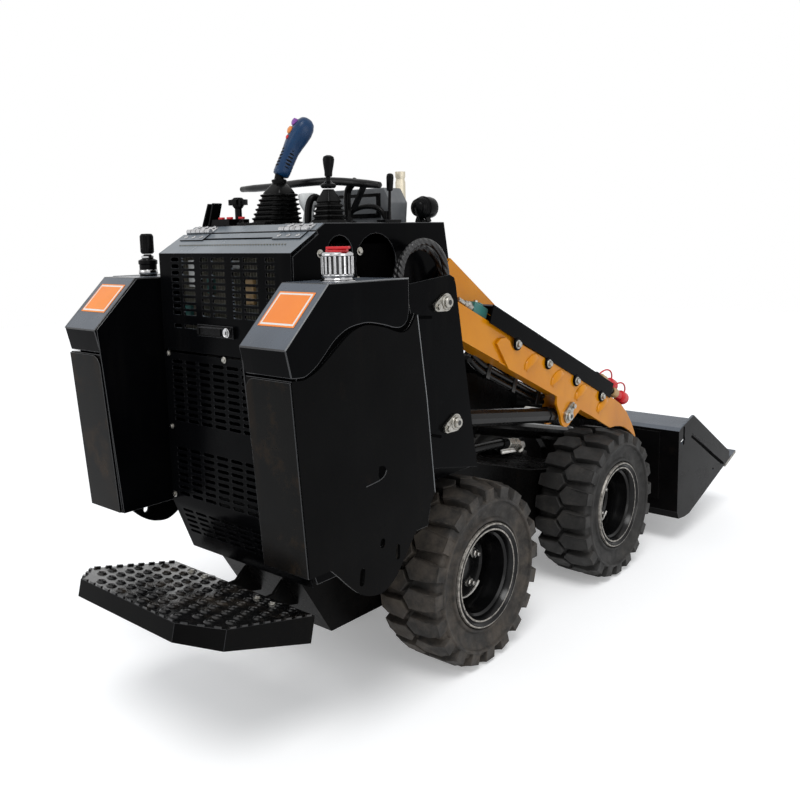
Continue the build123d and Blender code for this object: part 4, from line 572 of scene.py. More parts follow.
def raised_floor(co):
    """The tub's bottom at its true height, its slanted rear and front cut shorter."""
    low = TUB_FLOOR * MM
    if co.z > low:
        return co
    y = co.y
    if y < at(0, TUB_REAR, 0).y:
        y -= (low - co.z) * (140 / 228)
    return Vector((co.x, y, low + max(0, co.z - 0.115)))


def widened(co):
    return Vector((co.x * DECK_WIDEN, co.y, co.z))


def lower_hump(co):
    """The arm's raised inner plate ends below the tower's top."""
    if co.y < at(0, HUMP_FRONT, 0).y and co.z > HUMP_TOP * MM:
        return Vector((co.x, co.y, HUMP_TOP * MM))
    return co


# top gives upward faces a painted sky sheen, and the edge finish paints a sheen on the rounded edges
for node, finish, width, more in (
    ("chassis_tub", BLACK_LOW, 1.5, {"reshape": raised_floor}),
    ("console_shell", BLACK, 1.6, {"top": PAINTED_SKY_SHEEN, "wear_and_sheen": PAINTED_EDGE_SHEEN}),
    ("tower_plates", BLACK, 1.2, {"wear_and_sheen": PAINTED_EDGE_SHEEN}),
    ("hood_door", BLACK, 0.5, {"top": PAINTED_SKY_SHEEN, "wear_and_sheen": PAINTED_EDGE_SHEEN, "hole_ends": 4.3, "segments": 1}),
    ("rear_grille", BLACK, 0.5, {"wear_and_sheen": PAINTED_EDGE_SHEEN, "hole_ends": 3.8, "segments": 1}),
    ("hose_guard", BLACK, 1, {"top": PAINTED_SHEEN}),
    ("dash_housing", GREY, 3, {}),
    ("lift_arms", ORANGE, 1.6, {"reshape": lower_hump}),
    ("arm_gussets", ORANGE, 1.2, {}),
    ("arm_cross_members", BLACK_LOW, 1.4, {}),
    ("attach_plate", BUCKET_PAINT, 1.4, {}),
    ("bucket_shell", BUCKET_PAINT, 1.4, {"top": PAINTED_SHEEN, "wear_and_sheen": PAINTED_EDGE_SHEEN}),
    ("cutting_edge", WORN, 1.2, {"top": PAINTED_SHEEN}),
    ("platform_deck", DECK_PAINT, 1.6, {"top": DECK_TOP, "wear_and_sheen": PAINTED_EDGE_SHEEN, "reshape": widened}),
    ("platform_hinge", BLACK_LOW, 0.8, {"wear_and_sheen": PAINTED_EDGE_SHEEN}),
    ("wheel_motors", IRON, 1.5, {}),
    ("engine_block", IRON, 4, {}),
    ("door_latch", PLASTIC, 1, {"wear_and_sheen": PAINTED_EDGE_SHEEN}),
    ("bucket_pins", ZINC, 0.8, {}),
    ("hood_hinges", CHROME, 0.5, {}),
    ("lift_barrel_left", BARREL, 0.8, {}),
    ("lift_barrel_right", BARREL, 0.8, {}),
    ("tilt_barrel", BARREL, 0.8, {}),
    ("lift_rod_left", CHROME, 0.5, {}),
    ("lift_rod_right", CHROME, 0.5, {}),
    ("tilt_rod", CHROME, 0.5, {}),
):
    dressed(node, finish, width, **more)


# ---------------------------------------------------------------- side boxes
def smooth_line(points, steps=6):
    """A Catmull-Rom curve through (y, z) points."""
    out = []
    ends = [points[0], *points, points[-1]]
    for a, b, c, d in zip(ends, ends[1:], ends[2:], ends[3:]):
        for t in (i / steps for i in range(steps)):
            out.append([0.5 * (2 * q + (r - p) * t + (2 * p - 5 * q + 4 * r - s) * t * t
                               + (3 * q - p - 3 * r + s) * t ** 3) for p, q, r, s in zip(a, b, c, d)])
    return [*out, points[-1]]


def slotted(bm, outline, holes, low, high):
    """A sheet along X from a (y, z) outline, with holes through it."""
    for x in (low, high):
        face = bmesh.new()
        edges = []
        for loop in (outline, *holes):
            verts = [face.verts.new(at(x, y, z)) for y, z in loop]
            edges += [face.edges.new(pair) for pair in zip(verts, verts[1:] + verts[:1])]
        bmesh.ops.triangle_fill(face, use_beauty=True, edges=edges)
        bmesh.ops.dissolve_limit(face, angle_limit=0.01, verts=face.verts, edges=face.edges)
        data = bpy.data.meshes.new("sheet")
        face.to_mesh(data)
        face.free()
        bm.from_mesh(data)
        bpy.data.meshes.remove(data)
    for loop in (outline, *holes):
        plate(bm, loop, low, high, ends=())


def oval(y, z, long, high, lean, steps=7):
    """Outline of a round-ended slot."""
    turn = Matrix.Rotation(math.radians(lean), 2)
    points = []
    for end in (1, -1):
        for i in range(steps):
            b = math.pi * (i / (steps - 1) - end / 2)
            off = turn @ Vector((end * (long - high) / 2 + high / 2 * math.cos(b), high / 2 * math.sin(b)))
            points.append((y + off.x, z + off.y))
    return points


BOX_IN = 246
BOX_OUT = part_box("side_covers")[1].x / MM
# y, z of the cover's wavy upper edge, rear to front, and of the tank's lower edge above it
COVER_TOP = ((-677, 813), (-655, 811.5), (-640, 813), (-612, 824), (-585, 842), (-560, 860), (-530, 880),
             (-500, 891), (-473, 892.5), (-430, 883.5), (-400, 873.5), (-378, 869), (-358, 874), (-344, 888),
             (-334, 903))
TANK_FOOT = ((-677, 817), (-655, 815.5), (-640, 817.5), (-614, 832), (-590, 853), (-566, 874), (-535, 890),
             (-503, 896), (-473, 896.5), (-430, 888), (-402, 880.5), (-380, 880), (-364, 890), (-357, 908),
             (-356, 925))
TANK_TOP = ((-689, 868), (-580, 977), (-356, 975))
# y, z of a sheet of painted shade inside the tank
TANK_SHADE_LINING = ((-330, 860), (-356, 955), (-560, 955), (-660, 850), (-660, 800), (-560, 780))
COVER_FRONT = ((-332, 904), (-304, 721), (-282, 519))
LOBE = ((-282, 519), (-304, 490), (-345, 452), (-384, 407), (-412, 375), (-450, 355), (-489, 359),
        (-520, 374), (-548, 398), (-575, 425), (-596, 445))
COVER_HOLES = ((-451, 456, 20, 14, 80), (-405, 425, 34, 12, 88), (-512, 405, 36, 14, 82))
# the panel that hides the joint from the operator's side
INNER_PANEL = ((-300, 860), (-300, 446), (-647, 444), (-684, 869), (-577, 975), (-360, 973))
SKIN_TOP = 811
SKIN_LEAN = (677 - 650) / (813 - 445)
SKIN_CORNER = 26
# y, z: the pocket's crescent of painted shade, the pressed line under it as a painted highlight, and the edges
# that get painted highlight lines
SHADE_CRESCENT = ((-455, 613), (-442, 611), (-436, 601), (-441, 592), (-454, 586))
PRESSED_HIGHLIGHT = ((-496, 582), (-474, 584), (-454, 587), (-441, 593), (-436, 602))
HIGHLIGHT_LINES = (((-559, 976.8), (-440, 976), (-357, 975)), ((-689, 868), (-580, 976.5)),
          ((-331, 900), (-304, 721), (-281.6, 519)))


def rear_skin(bm, side):
    """The cover's rear skin with a rounded upper inner corner."""
    inner = BOX_IN + 3
    arc = [(inner + SKIN_CORNER * (1 - math.sin(a)), SKIN_TOP - SKIN_CORNER * (1 - math.cos(a)))
           for a in (math.radians(15 * i) for i in range(7))]
    shape = [(BOX_OUT, SKIN_TOP), *arc, (inner, 446), (BOX_OUT, 446)]
    skin(bm, [[bm.verts.new(at(side * x, y + (SKIN_TOP - z) * SKIN_LEAN, z)) for x, z in shape]
              for y in (-678.5, -681)])


def pocket(bm, side):
    """The pressed pocket of the cover: a crescent of painted shade, and the line under it as a painted
    highlight.
    """
    face = side * (BOX_OUT + 0.3)
    plate(bm, [*smooth_line(SHADE_CRESCENT, 4), (-458, 596)], face, face + side * 0.4, 1)
    rod(bm, [at(face, y, z) for y, z in smooth_line(PRESSED_HIGHLIGHT, 4)], 1.1, 0.3)


def side_boxes():
    tank = bmesh.new()
    cover = bmesh.new()
    joint = smooth_line(COVER_TOP)
    body = [*joint, *COVER_FRONT, (-300, 448), (-650, 445)]
    lobe = [*joint, *COVER_FRONT[:2], *smooth_line(LOBE), (-650, 445)]
    holes = [oval(*hole) for hole in COVER_HOLES]
    plates(tank, [*reversed(smooth_line(TANK_FOOT)), *TANK_TOP], BOX_IN, BOX_OUT)
    # the lining takes slot 3, painted shade
    plates(tank, TANK_SHADE_LINING, BOX_IN + 6, BOX_OUT - 7, 3)
    for side in SIDES:
        plate(cover, body, side * BOX_IN, side * (BOX_OUT - 6))
        slotted(cover, lobe, holes, side * (BOX_OUT - 6), side * BOX_OUT)
        # mounts that carry the box on the console
        for low, high in ((900, 950), (560, 640)):
            box(cover, at(side * 233, -450, (low + high) / 2), (28, 40, high - low))
        plate(cover, INNER_PANEL, side * (BOX_IN - 3), side * (BOX_IN + 0.5), 3)
    for bm in (tank, cover):
        bm.normal_update()
        bmesh.ops.recalc_face_normals(bm, faces=bm.faces)
    # upward faces of the tank take slot 1, the painted sky sheen
    for face in tank.faces:
        if face.normal.z > 0.5 and face.normal.y < 0.5 and face.material_index == 0:
            face.material_index = 1
    # slot 2, on the rounded edges, is the painted edge sheen; slot 3 of the tank is painted shade
    for bm, node, finishes, width in ((tank, "tank", (BLACK, PAINTED_SHEEN, PAINTED_EDGE_SHEEN, PAINTED_SHADE), 2),
                                      (cover, "cover", (COVER, PAINTED_SHEEN, PAINTED_EDGE_SHEEN, BLACK), 1.2)):
        finished(bm, node + "_shells", finishes, "chassis", SLOTS["side_" + node + "s"], width, 2, 40, 2,
                 replaces=("side_" + node + "s",))
    slot = SLOTS["side_covers"]
    # the rounded edges of the rear skins take the painted edge sheen
    build("cover_rear_skins", (SMUDGED, PAINTED_EDGE_SHEEN), "chassis", slot, [(rear_skin, s) for s in SIDES],
          0.8, 2, 40, 1)
    build("cover_pocket_shade", (PAINTED_EDGE_SHEEN, PAINTED_SHADE), "chassis", slot, [(pocket, s) for s in SIDES])
    # thin rods along the edges, lighter than the paint: painted highlight lines
    build("painted_highlight_edges", PAINTED_EDGE_HIGHLIGHT, "chassis", slot,
          [(rod, [at(s * (BOX_OUT - 0.4), y, z) for y, z in line], 1.3) for s in SIDES for line in HIGHLIGHT_LINES])


side_boxes()


# ---------------------------------------------------------------- hood details
CONSOLE_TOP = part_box("console_shell")[1].z / MM
BEND_Z = CONSOLE_TOP - 58
HOOD_REAR = from_axle(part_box("rear_grille")[0].y)
SLANT = math.atan2(58, 100)
SLANT_UP = Vector((0, -math.sin(SLANT), math.cos(SLANT)))
REAR_SCREWS = ((203, 803), (-203, 803), (-1, 803), (205, 632), (-205, 632), (209, 469), (-209, 469))


def on_slant(x, along, off):
    """A point on the door's slanted top: mm from its bend, and off the sheet."""
    return at(x, HOOD_REAR + along * math.cos(SLANT) - off * math.sin(SLANT),
              BEND_Z + along * math.sin(SLANT) + off * math.cos(SLANT))


def screws():
    for name, body, along, off in (("fixed", "chassis", 106, 2.9), ("door", "hood", 63, 2.6)):
        build("hinge_screws_" + name, CHROME, body, "chrome",
              [(button, on_slant(s * x, along, off), SLANT_UP, 5.2, 2.2)
               for s in SIDES for x in (130, 158, 186)])
    # the joints between the five barrels of each knuckle
    build("hinge_joints", PLASTIC, "chassis", "chrome",
          [(lathe, [(-0.6, 5.75), (0.6, 5.75)], on_slant(s * 158 - 42 + i * 16.8, 83, 6), RIGHT, 16)
           for s in SIDES for i in range(1, 5)])
    build("rear_screws", ZINC, "chassis", "zinc",
          [(bolt, at(x, HOOD_REAR, z), REARWARDS, 5, 4) for x, z in REAR_SCREWS])
    build("console_screws", ZINC, "chassis", "zinc",
          [(bolt, at(s * 216, y, CONSOLE_TOP - down), RIGHT * s, 6, 4.5)
           for s in SIDES for y, down in ((-448, 62), (-331, 60), (-338, 122))])


def latch_detail():
    """Lock barrel with its keyway, and the paddle in its finger recess."""
    face = from_axle(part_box("door_latch")[0].y)
    z = middle("door_latch").z / MM
    build("latch_lock", (CHROME, PLASTIC), "hood", "chrome", [
        (lathe, [(-6, 10.5), (0.6, 10.5), (1.6, 9.2), (0.8, 6.5), (1, 0.1)], at(28, face, z), REARWARDS, 28),
        (box, at(28, face - 1.2, z), (1.6, 1.4, 7), None, 1)])
    build("latch_paddle", PLASTIC, "hood", "grip_plastic", [
        (box, at(-29, face - 0.8, z), (80, 2.4, 15)),
        (box, at(-64, face - 2.6, z), (8, 3, 13)),
        *((button, at(x, face + 5.5, z + 8), REARWARDS, 3, 1.6) for x in (-75, 38))], 1.2)


def engine_bay():
    """What shows through the grilles and openings: radiator, dark sheets of painted shade, filter and hoses.
    """
    build("radiator_core", CORE, "chassis", "engine", [
        *((box, at(-176 + i * 9, -497, 950), (2.2, 16, 196)) for i in range(40)),
        *((box, at(0, -492, 860 + i * 22), (362, 12, 3.5)) for i in range(9)),
        (box, at(0, -494, 850), (376, 24, 12))], 0.4, 1)
    # near-black sheets behind the radiator and along the sides: painted shade in the bay
    build("engine_bay_shade_sheets", PAINTED_SHADE, "chassis", "engine", [
        (box, at(0, -478, 930), (392, 10, 262)),
        (box, at(0, -484, 640), (400, 8, 300)),
        (box, at(0, -468, 1052), (380, 60, 5), turned(0.35, "X")),
        *((box, at(s * 196, -330, 968), (3, 280, 150)) for s in SIDES)], 1.5)
    build("air_filter", PLASTIC, "chassis", "engine", [
        (lathe, [(-120, 30), (-116, 46), (-60, 47), (-58, 44), (60, 44), (62, 47), (96, 47), (100, 34)],
         at(30, -372, 1024), RIGHT),
        (lathe, [(0, 24), (70, 24), (74, 20)], at(-60, -300, 1010), (0.2, -0.6, 0.5), 20)], 1.2)
    build("engine_fittings", (CLEAR, TEAL, TAN), "chassis", "engine", [
        (box, at(x, -508, z), (wide, 10, high), None, index) for x, z, wide, high, index in (
            (-120, 985, 34, 60, 0), (-62, 962, 22, 40, 1), (18, 1006, 46, 18, 0), (70, 950, 24, 54, 2),
            (-150, 900, 26, 26, 1))], 2)
    for name, x, finish, size in (("red", 176, RED, 7), ("black", 188, RUBBER, 9)):
        line = ((0, -420, 990), (4, -396, 1030), (0, -350, 1046), (-8, -300, 1016), (0, -250, 975))
        pipe("bay_pipe_" + name, [at(x + dx, y, z) for dx, y, z in line], size, finish, "chassis", "engine")


def blank_plates():
    """Blank orange plates with white borders on the tanks' slanted faces."""
    build("blank_plates", (LABEL, LABEL_EDGE), "chassis", "black_paint", [
        (box, at(s * 308, -625 - lift, 932 + lift), (wide, high, 1), turned(math.radians(45), "X"), index)
        for s in SIDES for lift, wide, high, index in ((0.4, 96, 82, 0), (0.6, 89, 75, 1), (0.8, 81, 67, 0))],
        0.3, 1)


def caps():
    """Ribbed chrome filler cap with its red tab, and the black breather on the left tank."""
    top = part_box("side_tanks")[1].z / MM - 4
    x, y = 308, -492
    spot = at(x, y, top)

    def rings(sides, *rows, index=0):
        return [(lathe, row, spot, UP, sides, index) for row in rows]

    def ribs(count, radius, height, size):
        turns = [turned(2 * math.pi * i / count, "Z") for i in range(count)]
        return [(box, spot + UP * height * MM + turn @ Vector((radius * MM, 0, 0)), size, turn)
                for turn in turns]

    build("filler_cap", (CHROME, DARK_STEEL), "chassis", "chrome", [
        *rings(48, [(-2, 34), (2, 35.5), (4, 35), (6, 30), (10, 28)]),
        *ribs(20, 29.2, 33, (5, 4.9, 34)),
        *rings(48, [(8, 26), (10, 30), (14, 31.6), (17, 29)],
               [(49, 29), (51, 31.8), (55, 31.6), (58, 28), (59, 8)]),
        *rings(48, [(14, 27.6), (52, 27.6)], index=1)], 0.8, replaces=("tank_caps",))
    build("filler_tab", RED, "chassis", "chrome", [
        *rings(32, [(56, 22), (62, 22), (64, 20), (64.5, 4)]),
        (box, at(x + 12, y - 9, top + 66), (44, 19, 5), turned(0.5, "Z"))], 1.5)
    spot = at(-x, -503, top)
    build("breather_cap", PLASTIC, "chassis", "chrome", [
        *rings(32, [(-2, 20), (30, 20), (32, 22), (40, 22), (42, 18), (46, 9), (54, 9)]),
        *ribs(16, 14.5, 78, (2.4, 3.6, 38)),
        *rings(32, [(55, 12), (58, 15), (98, 15), (102, 12), (102.5, 3)])], 0.8)
    build("breather_rings", CHROME, "chassis", "chrome", rings(
        32, [(44, 12), (46, 14.5), (50, 14.5), (52, 12)], [(8, 21), (10, 22), (16, 22), (18, 21)]))


screws()
latch_detail()
engine_bay()
blank_plates()
caps()


# ---------------------------------------------------------------- controls
BOOT_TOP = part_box("lever_boots")[1].z / MM
# x, y of the levers' feet
STICK = (-16, -342)
AUX = (138, -340)
THROTTLE = (204, -220)
SHUT_OFF = (-122, -376)
BAR_FOOT = 118
# x, y, z of the bar's bent middle line, left to right
BAR_LINE = ((-238, -265, 1180), (-190, -266, 1180), (-126, -269, 1180), (-70, -278, 1181), (-16, -285, 1182),
            (40, -286, 1182.5), (87, -284, 1182), (120, -274, 1179), (147, -268, 1176), (185, -266, 1171),
            (217, -265, 1167))


def joystick():
    """The blue grip: slim below, a broad head with its three buttons, and a ribbed collar."""
    base = at(*STICK, BOOT_TOP + 7)
    lean = Vector((0.156, 0.402, 0.902)).normalized()
    back = Vector((-0.25, -0.9, 0.35)).normalized()
    head = base + lean * 0.112 + RIGHT * 0.004
    # along, offset to the right, half width, half depth
    rows = ((8, 0, 12, 12), (11, 0, 18, 17), (18, 0, 19.5, 18), (40, 0, 18.5, 18), (66, 1, 18, 18.5),
            (84, 3, 20, 21), (98, 6, 24, 23), (112, 9, 27, 24), (126, 11, 26, 23), (138, 12, 21, 19),
            (146, 11, 14, 13), (149, 11, 7, 7))
    build("joystick_grip", BLUE, "chassis", "grip_plastic", [
        (ring_stack, [(base + (lean * along + RIGHT * off) * MM, wide, deep, turning(lean))
                      for along, off, wide, deep in rows], 28)], smooth=60)
    build("joystick_buttons", (AMBER, PURPLE, RED), "chassis", "grip_plastic", [
        (lathe, [(14, 9), (25.5, 8.5), (27, 6)], head, back, 20),
        (lathe, [(14, 9), (24.5, 8.5), (26, 6)], head + lean * 0.02 + RIGHT * 0.002, back, 20, 1),
        (lathe, [(14, 5), (24, 4.6), (25, 3)], head - lean * 0.017, back, 16, 2)])
    build("joystick_collar", PLASTIC, "chassis", "grip_plastic", [
        (lathe, [(-6, 15), (0, 17), (3, 17), (5, 11), (18, 8), (20, 7)], at(*STICK, BOOT_TOP + 3), UP, 28),
        *((lathe, [(26 + i * 8, 18.9), (28 + i * 8, 19.5), (30 + i * 8, 18.9)], base, lean, 28)
          for i in range(7))], replaces=("control_levers",))


def bellows():
    """Rubber boots with thin pleats: the joystick's, and the smaller one with a pointed top."""
    stick = []
    aux = [(at(*AUX, CONSOLE_TOP), 31, 31, Matrix())]
    for i in range(7):
        t = i / 7
        spot = at(STICK[0] - 14 * (1 - t), STICK[1], CONSOLE_TOP + 3 + 72 * t)
        for rise, draw in ((0, 0), (3, -0.5), (5, 5), (8, 6)):
            half = 50 - 16 * t - draw
            stick.append((spot + UP * rise * MM, half, half - 4, Matrix()))
    for i in range(4):
        for rise, draw in ((0, 0), (3, 0.5), (5, 4.5), (8, 5.5)):
            half = 30 - 1.6 * i - draw
            aux.append((at(*AUX, CONSOLE_TOP + 4 + 10.5 * i + rise), half, half, Matrix()))
    for rows, foot, up, wide, deep in ((stick, STICK, 80, 24, 22), (stick, STICK, 92, 13, 13),
                                       (aux, AUX, 46, 22, 22), (aux, AUX, 72, 9, 9)):
        rows.append((at(*foot, CONSOLE_TOP + up), wide, deep, Matrix()))
    build("lever_bellows", RUBBER, "chassis", SLOTS["lever_boots"],
          [(ring_stack, stick, 40, 5), (ring_stack, aux, 40, 6)], smooth=50, replaces=("lever_boots",))


def small_levers():
    """Auxiliary lever, throttle, shut-off knob, switches, funnel and elbow hose."""
    knob = at(*AUX, BOOT_TOP - 16)
    rod_foot = at(*THROTTLE, CONSOLE_TOP)
    post = at(*SHUT_OFF, CONSOLE_TOP)
    lean = (0.05, 0, 1)

    def block(x, y, up, size, turn=None):
        return box, at(x, y, CONSOLE_TOP + up), size, turn

    build("small_levers", PLASTIC, "chassis", "grip_plastic", [
        (lathe, [(-4, 14), (0, 17), (4, 17), (7, 10), (12, 5.5), (24, 5)], knob, UP, 28),
        (lathe, [(20, 7), (23, 8.5), (30, 8.6), (46, 11.5), (56, 12.6), (62, 11), (65, 5)], knob, lean, 28),
        (lathe, [(0, 3.2), (78, 3.2)], rod_foot, lean, 14),
        (lathe, [(68, 5.5), (71, 7.2), (98, 8.2), (104, 7), (106, 3)], rod_foot, lean, 20),
        block(*THROTTLE, 3, (26, 54, 6)),
        block(THROTTLE[0] - 4, THROTTLE[1], 14, (6, 18, 22)),
        (lathe, [(0, 17), (7, 17), (9, 12), (14, 11), (16, 8), (40, 8), (42, 11), (46, 11)], post, UP, 28),
        *(block(*SHUT_OFF, 54, (44, 13, 13), turned(turn, "Z")) for turn in (0.4, 0.4 + math.pi / 2)),
        (lathe, [(44, 13), (62, 13), (65, 9)], post, UP, 28),
        *(block(x, -402, 26, (5, 26, 58), turned(turn, "Y")) for x, turn in ((-196, 0.45), (-176, 0.35))),
        block(-150, -382, 8, (74, 60, 16)),
        block(-40, -400, 3, (96, 20, 6))], 1)
    build("console_switches", RED, "chassis", "grip_plastic",
          [block(x, y, 18, (15, 8, 5)) for x, y in ((-148, -405), (-118, -405), (-92, -392))], 1)
    build("milky_funnel", CLEAR, "chassis", "grip_plastic", [
        (lathe, [(0, 14), (4, 15), (26, 11), (30, 12), (44, 20), (64, 23), (66, 22), (45, 17), (30, 8)],
         at(52, -318, CONSOLE_TOP), (-0.1, 0.1, 1), 28)])
    pipe("elbow_hose", [at(x, y, CONSOLE_TOP + up) for x, y, up in (
        (84, -352, 0), (84, -352, 40), (90, -338, 62), (98, -312, 44), (100, -300, 0))],
        8, RUBBER, "chassis", "boot_rubber")


def hand_bar():
    """Foam-padded bar with round ends and a shallow kink, on two bent tube legs."""
    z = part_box("hand_bar")[1].z / MM - 11
    last = len(BAR_LINE) - 1
    rows = []
    for i, spot in enumerate(BAR_LINE):
        ahead = Vector(BAR_LINE[min(i + 1, last)]) - Vector(BAR_LINE[max(i - 1, 0)])
        fat = 0.8 if i in (0, last) else 1
        rows.append((at(*spot), 11.5 * fat, 8.8 * fat, turning(ahead)))
        if i in (0, last):
            tip = at(*spot) + ahead.normalized() * (0.004 if i else -0.004)
            rows.insert(len(rows) if i else 0, (tip, 5, 4, turning(ahead)))
    build("bar_pad", FOAM, "chassis", "pad", [(ring_stack, rows, 24, 2.3)], smooth=60, replaces=("hand_bar",))
    for side, hand in HANDS:
        foot = at(side * BAR_FOOT, -262, CONSOLE_TOP)
        pipe("bar_leg_" + hand, [foot, foot + UP * 0.03, foot + UP * 0.06, at(side * 124, -264, z - 14),
                                 at(side * 150, -268, z)], 8, PLASTIC, "chassis", "pad")
    build("bar_feet", PLASTIC, "chassis", "pad", [
        *((lathe, [(0, 20), (4, 20), (6, 12), (14, 10)], at(s * BAR_FOOT, -262, CONSOLE_TOP), UP, 28)
          for s in SIDES),
        *((button, at(s * BAR_FOOT + x, -262, CONSOLE_TOP + 4), UP, 3.4, 2)
          for s in SIDES for x in (12, -12)),
        (box, at(156, -263, z - 34), (5, 16, 66), turned(0.58, "Y"))], 0.8)


def dash_detail():
    """Bezel, face, screws and hose of the instrument housing."""
    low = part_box("dash_housing")[0]
    rear = from_axle(low.y)
    base = low.z / MM
    build("dash_bezel", (PLASTIC, GREY), "chassis", "black_paint", [
        (box, at(56, rear - 1, base + 40), (150, 3, 56)),
        (box, at(56, rear - 2.6, base + 41), (126, 1.4, 38), None, 1),
        *((button, at(x, rear - 2.4, base + 20), REARWARDS, 4, 2) for x in (-8, 120))], 2)
    pipe("dash_hose", [at(x, rear - back, base + up) for x, back, up in (
        (50, 30, 0), (58, 34, 26), (108, 30, 40), (150, 24, 34), (166, 20, 6), (166, 18, 0))],
        6, RUBBER, "chassis", "boot_rubber")


def work_lamp():
    """Black lamp with cooling fins, bezel ring, lens and lead."""
    low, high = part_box("work_lamp")
    centre = Vector((*middle("work_lamp").xy, high.z - 0.025))
    foot = Vector((*centre.xy, low.z))
    build("lamp_body", PLASTIC, "chassis", "lamp", [
        (lathe, [(-28, 8), (-26, 13), (-18, 20), (-8, 24), (6, 25.5), (20, 25.5), (24, 24.5), (28, 24),
                 (28, 21), (25, 20)], centre, AHEAD, 40),
        *((lathe, [(-22 + i * 5, 17 + 1.9 * i), (-21 + i * 5, 20 + 1.7 * i), (-19.5 + i * 5, 17.5 + 1.9 * i)],
           centre, AHEAD, 40) for i in range(5)),
        (lathe, [(0, 15), (5, 15), (7, 9)], foot, UP, 24),
        *((box, foot + Vector((s * 12, 0, 12)) * MM, (4, 16, 24), turned(s * -0.4, "Y")) for s in SIDES)],
        smooth=40, replaces=("work_lamp",))
    build("lamp_lens", LENS, "chassis", "lamp",
          [(lathe, [(22, 21), (26.5, 18), (28, 10), (28.5, 0.5)], centre, AHEAD, 40)], smooth=60)
    line = ((0, -24, 0), (4, -36, -4), (10, -30, -26), (6, -14, -50))
    pipe("lamp_lead", [*(centre + Vector(spot) * MM for spot in line), foot + Vector((0, -8, 1)) * MM],
         2.4, RUBBER, "chassis", "boot_rubber")


def exhaust():
    low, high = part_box("exhaust_pipe")
    tall = (high.z - low.z) / MM
    build("tail_pipe", CREAM, "chassis", "steel", [
        (lathe, [(0, 13), (6, 13), (8, 12), (tall - 24, 12), (tall - 20, 10.4), (tall - 16, 10.4),
                 (tall - 12, 12), (tall, 12), (tall, 10), (tall - 30, 9.6), (tall - 31, 1)],
         Vector((*middle("exhaust_pipe").xy, low.z)), UP)], smooth=40, replaces=("exhaust_pipe",))


joystick()
bellows()
small_levers()
hand_bar()
dash_detail()
work_lamp()
exhaust()


# ---------------------------------------------------------------- towers and arms
ARM_SLOPE = math.radians(24.3)
PIVOT = at(0, -148, 898)
FORWARD_DOWN = Vector((0, math.cos(ARM_SLOPE), -math.sin(ARM_SLOPE)))
OFF_ARM = Vector((0, math.sin(ARM_SLOPE), math.cos(ARM_SLOPE)))
ARM_TURN = turned(-ARM_SLOPE, "X")
BIG_END = 20
SMALL_END = 11
END_GAP = 34
TOWER_FACE = 300
# ahead of and below the tower: y, z of the painted shade plates inside the arms
ARM_SHADE_PLATE = ((60, 776), (214, 690), (392, 622), (392, 590), (263, 641), (100, 700))
ARM_TOP = 39.5
PIPE_X = 219


def arm_spot(x, along, above):
    """A point given along and above the arm tube's middle line, in mm."""
    return PIVOT + RIGHT * x * MM + FORWARD_DOWN * along * MM + OFF_ARM * above * MM


def keeper_outline(y, z, lean):
    """Big round end about the pin, small one about the bolt, joined by tangents; the bolt's place."""
    a = math.radians(lean)
    bolt_y, bolt_z = y - END_GAP * math.cos(a), z - END_GAP * math.sin(a)
    opening = math.acos((BIG_END - SMALL_END) / END_GAP)
    toward = a + math.pi
    big = [toward + opening + (2 * math.pi - 2 * opening) * i / 16 for i in range(17)]
    small = [toward - opening + 2 * opening * i / 8 for i in range(9)]
    return [*((y + BIG_END * math.cos(b), z + BIG_END * math.sin(b)) for b in big),
            *((bolt_y + SMALL_END * math.cos(b), bolt_z + SMALL_END * math.sin(b)) for b in small)
            ], bolt_y, bolt_z


def keeper(bm, y, z, lean, face, start):
    """On both sides a pin in its ring, its plated locking plate and a hexagon bolt."""
    outline, bolt_y, bolt_z = keeper_outline(y, z, lean)
    plates(bm, outline, face, face + 6)
    for side in SIDES:
        axis = RIGHT * side
        centre = at(side * (face + 6), y, z)
        lathe(bm, [(0, 11.8), (face - start, 11.8)], at(side * start, y, z), axis, 28)
        lathe(bm, [(-1, 17), (1.5, 17), (3, 15.5), (3.2, 13)], centre, axis)
        lathe(bm, [(0, 13), (7, 13), (9.5, 11), (9.6, 6)], centre, axis)
        lathe(bm, [(9.5, 6.2), (9.9, 6), (9.9, 0.2)], centre, axis, 24, 1)
        bolt(bm, at(side * (face + 6), bolt_y, bolt_z), axis, 7.5, 8)


def keepers():
    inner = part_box("console_shell")[1].x / MM - 14
    lift = arm_spot(0, 666, -82)
    for node, body, pins, face, start in (
        ("pivot_pins", "chassis", ((-148, 910, 13), (-118, 632, 14)), 300.4, inner),
        ("arm_pins", "arms", ((from_axle(lift.y), lift.z / MM, 228),), 284.4, 150),
    ):
        build(node + "_keepers", (ZINC, DARK_STEEL), body, SLOTS[node],
              [(keeper, *pin, face, start) for pin in pins], 0.9, 2, 35, replaces=(node,))
    # lightening slots beside the keepers: ovals of painted shade over black patches
    for name, finish, low, high, ovals in (
        ("slots", PAINTED_SHADE, 0.2, 0.7, ((-217, 882, 46, 7, -5), (-188, 613, 46, 7, -16))),
        ("patches", BLACK, -0.4, 0.15, ((-218, 890, 38, 15, 35), (-188, 612, 38, 15, 35))),
    ):
        build("tower_" + name, finish, "chassis", SLOTS["tower_plates"],
              [(plates, oval(*values), TOWER_FACE + low, TOWER_FACE + high) for values in ovals])


def guard_bolts():
    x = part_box("hose_guard")[1].x / MM
    places = [337 + i * 166.6 for i in range(4)]
    build("guard_lobes", BLACK, "arms", "black_paint",
          [(lathe, [(0, 17), (3, 17), (4, 16)], arm_spot(x - 2, p, 23), RIGHT, 28) for p in places], 0.6, 1)
    build("guard_bolts", ZINC, "arms", "zinc", [(bolt, arm_spot(x + 2, p, 22), RIGHT, 8, 7) for p in places],
          0.5, 1)


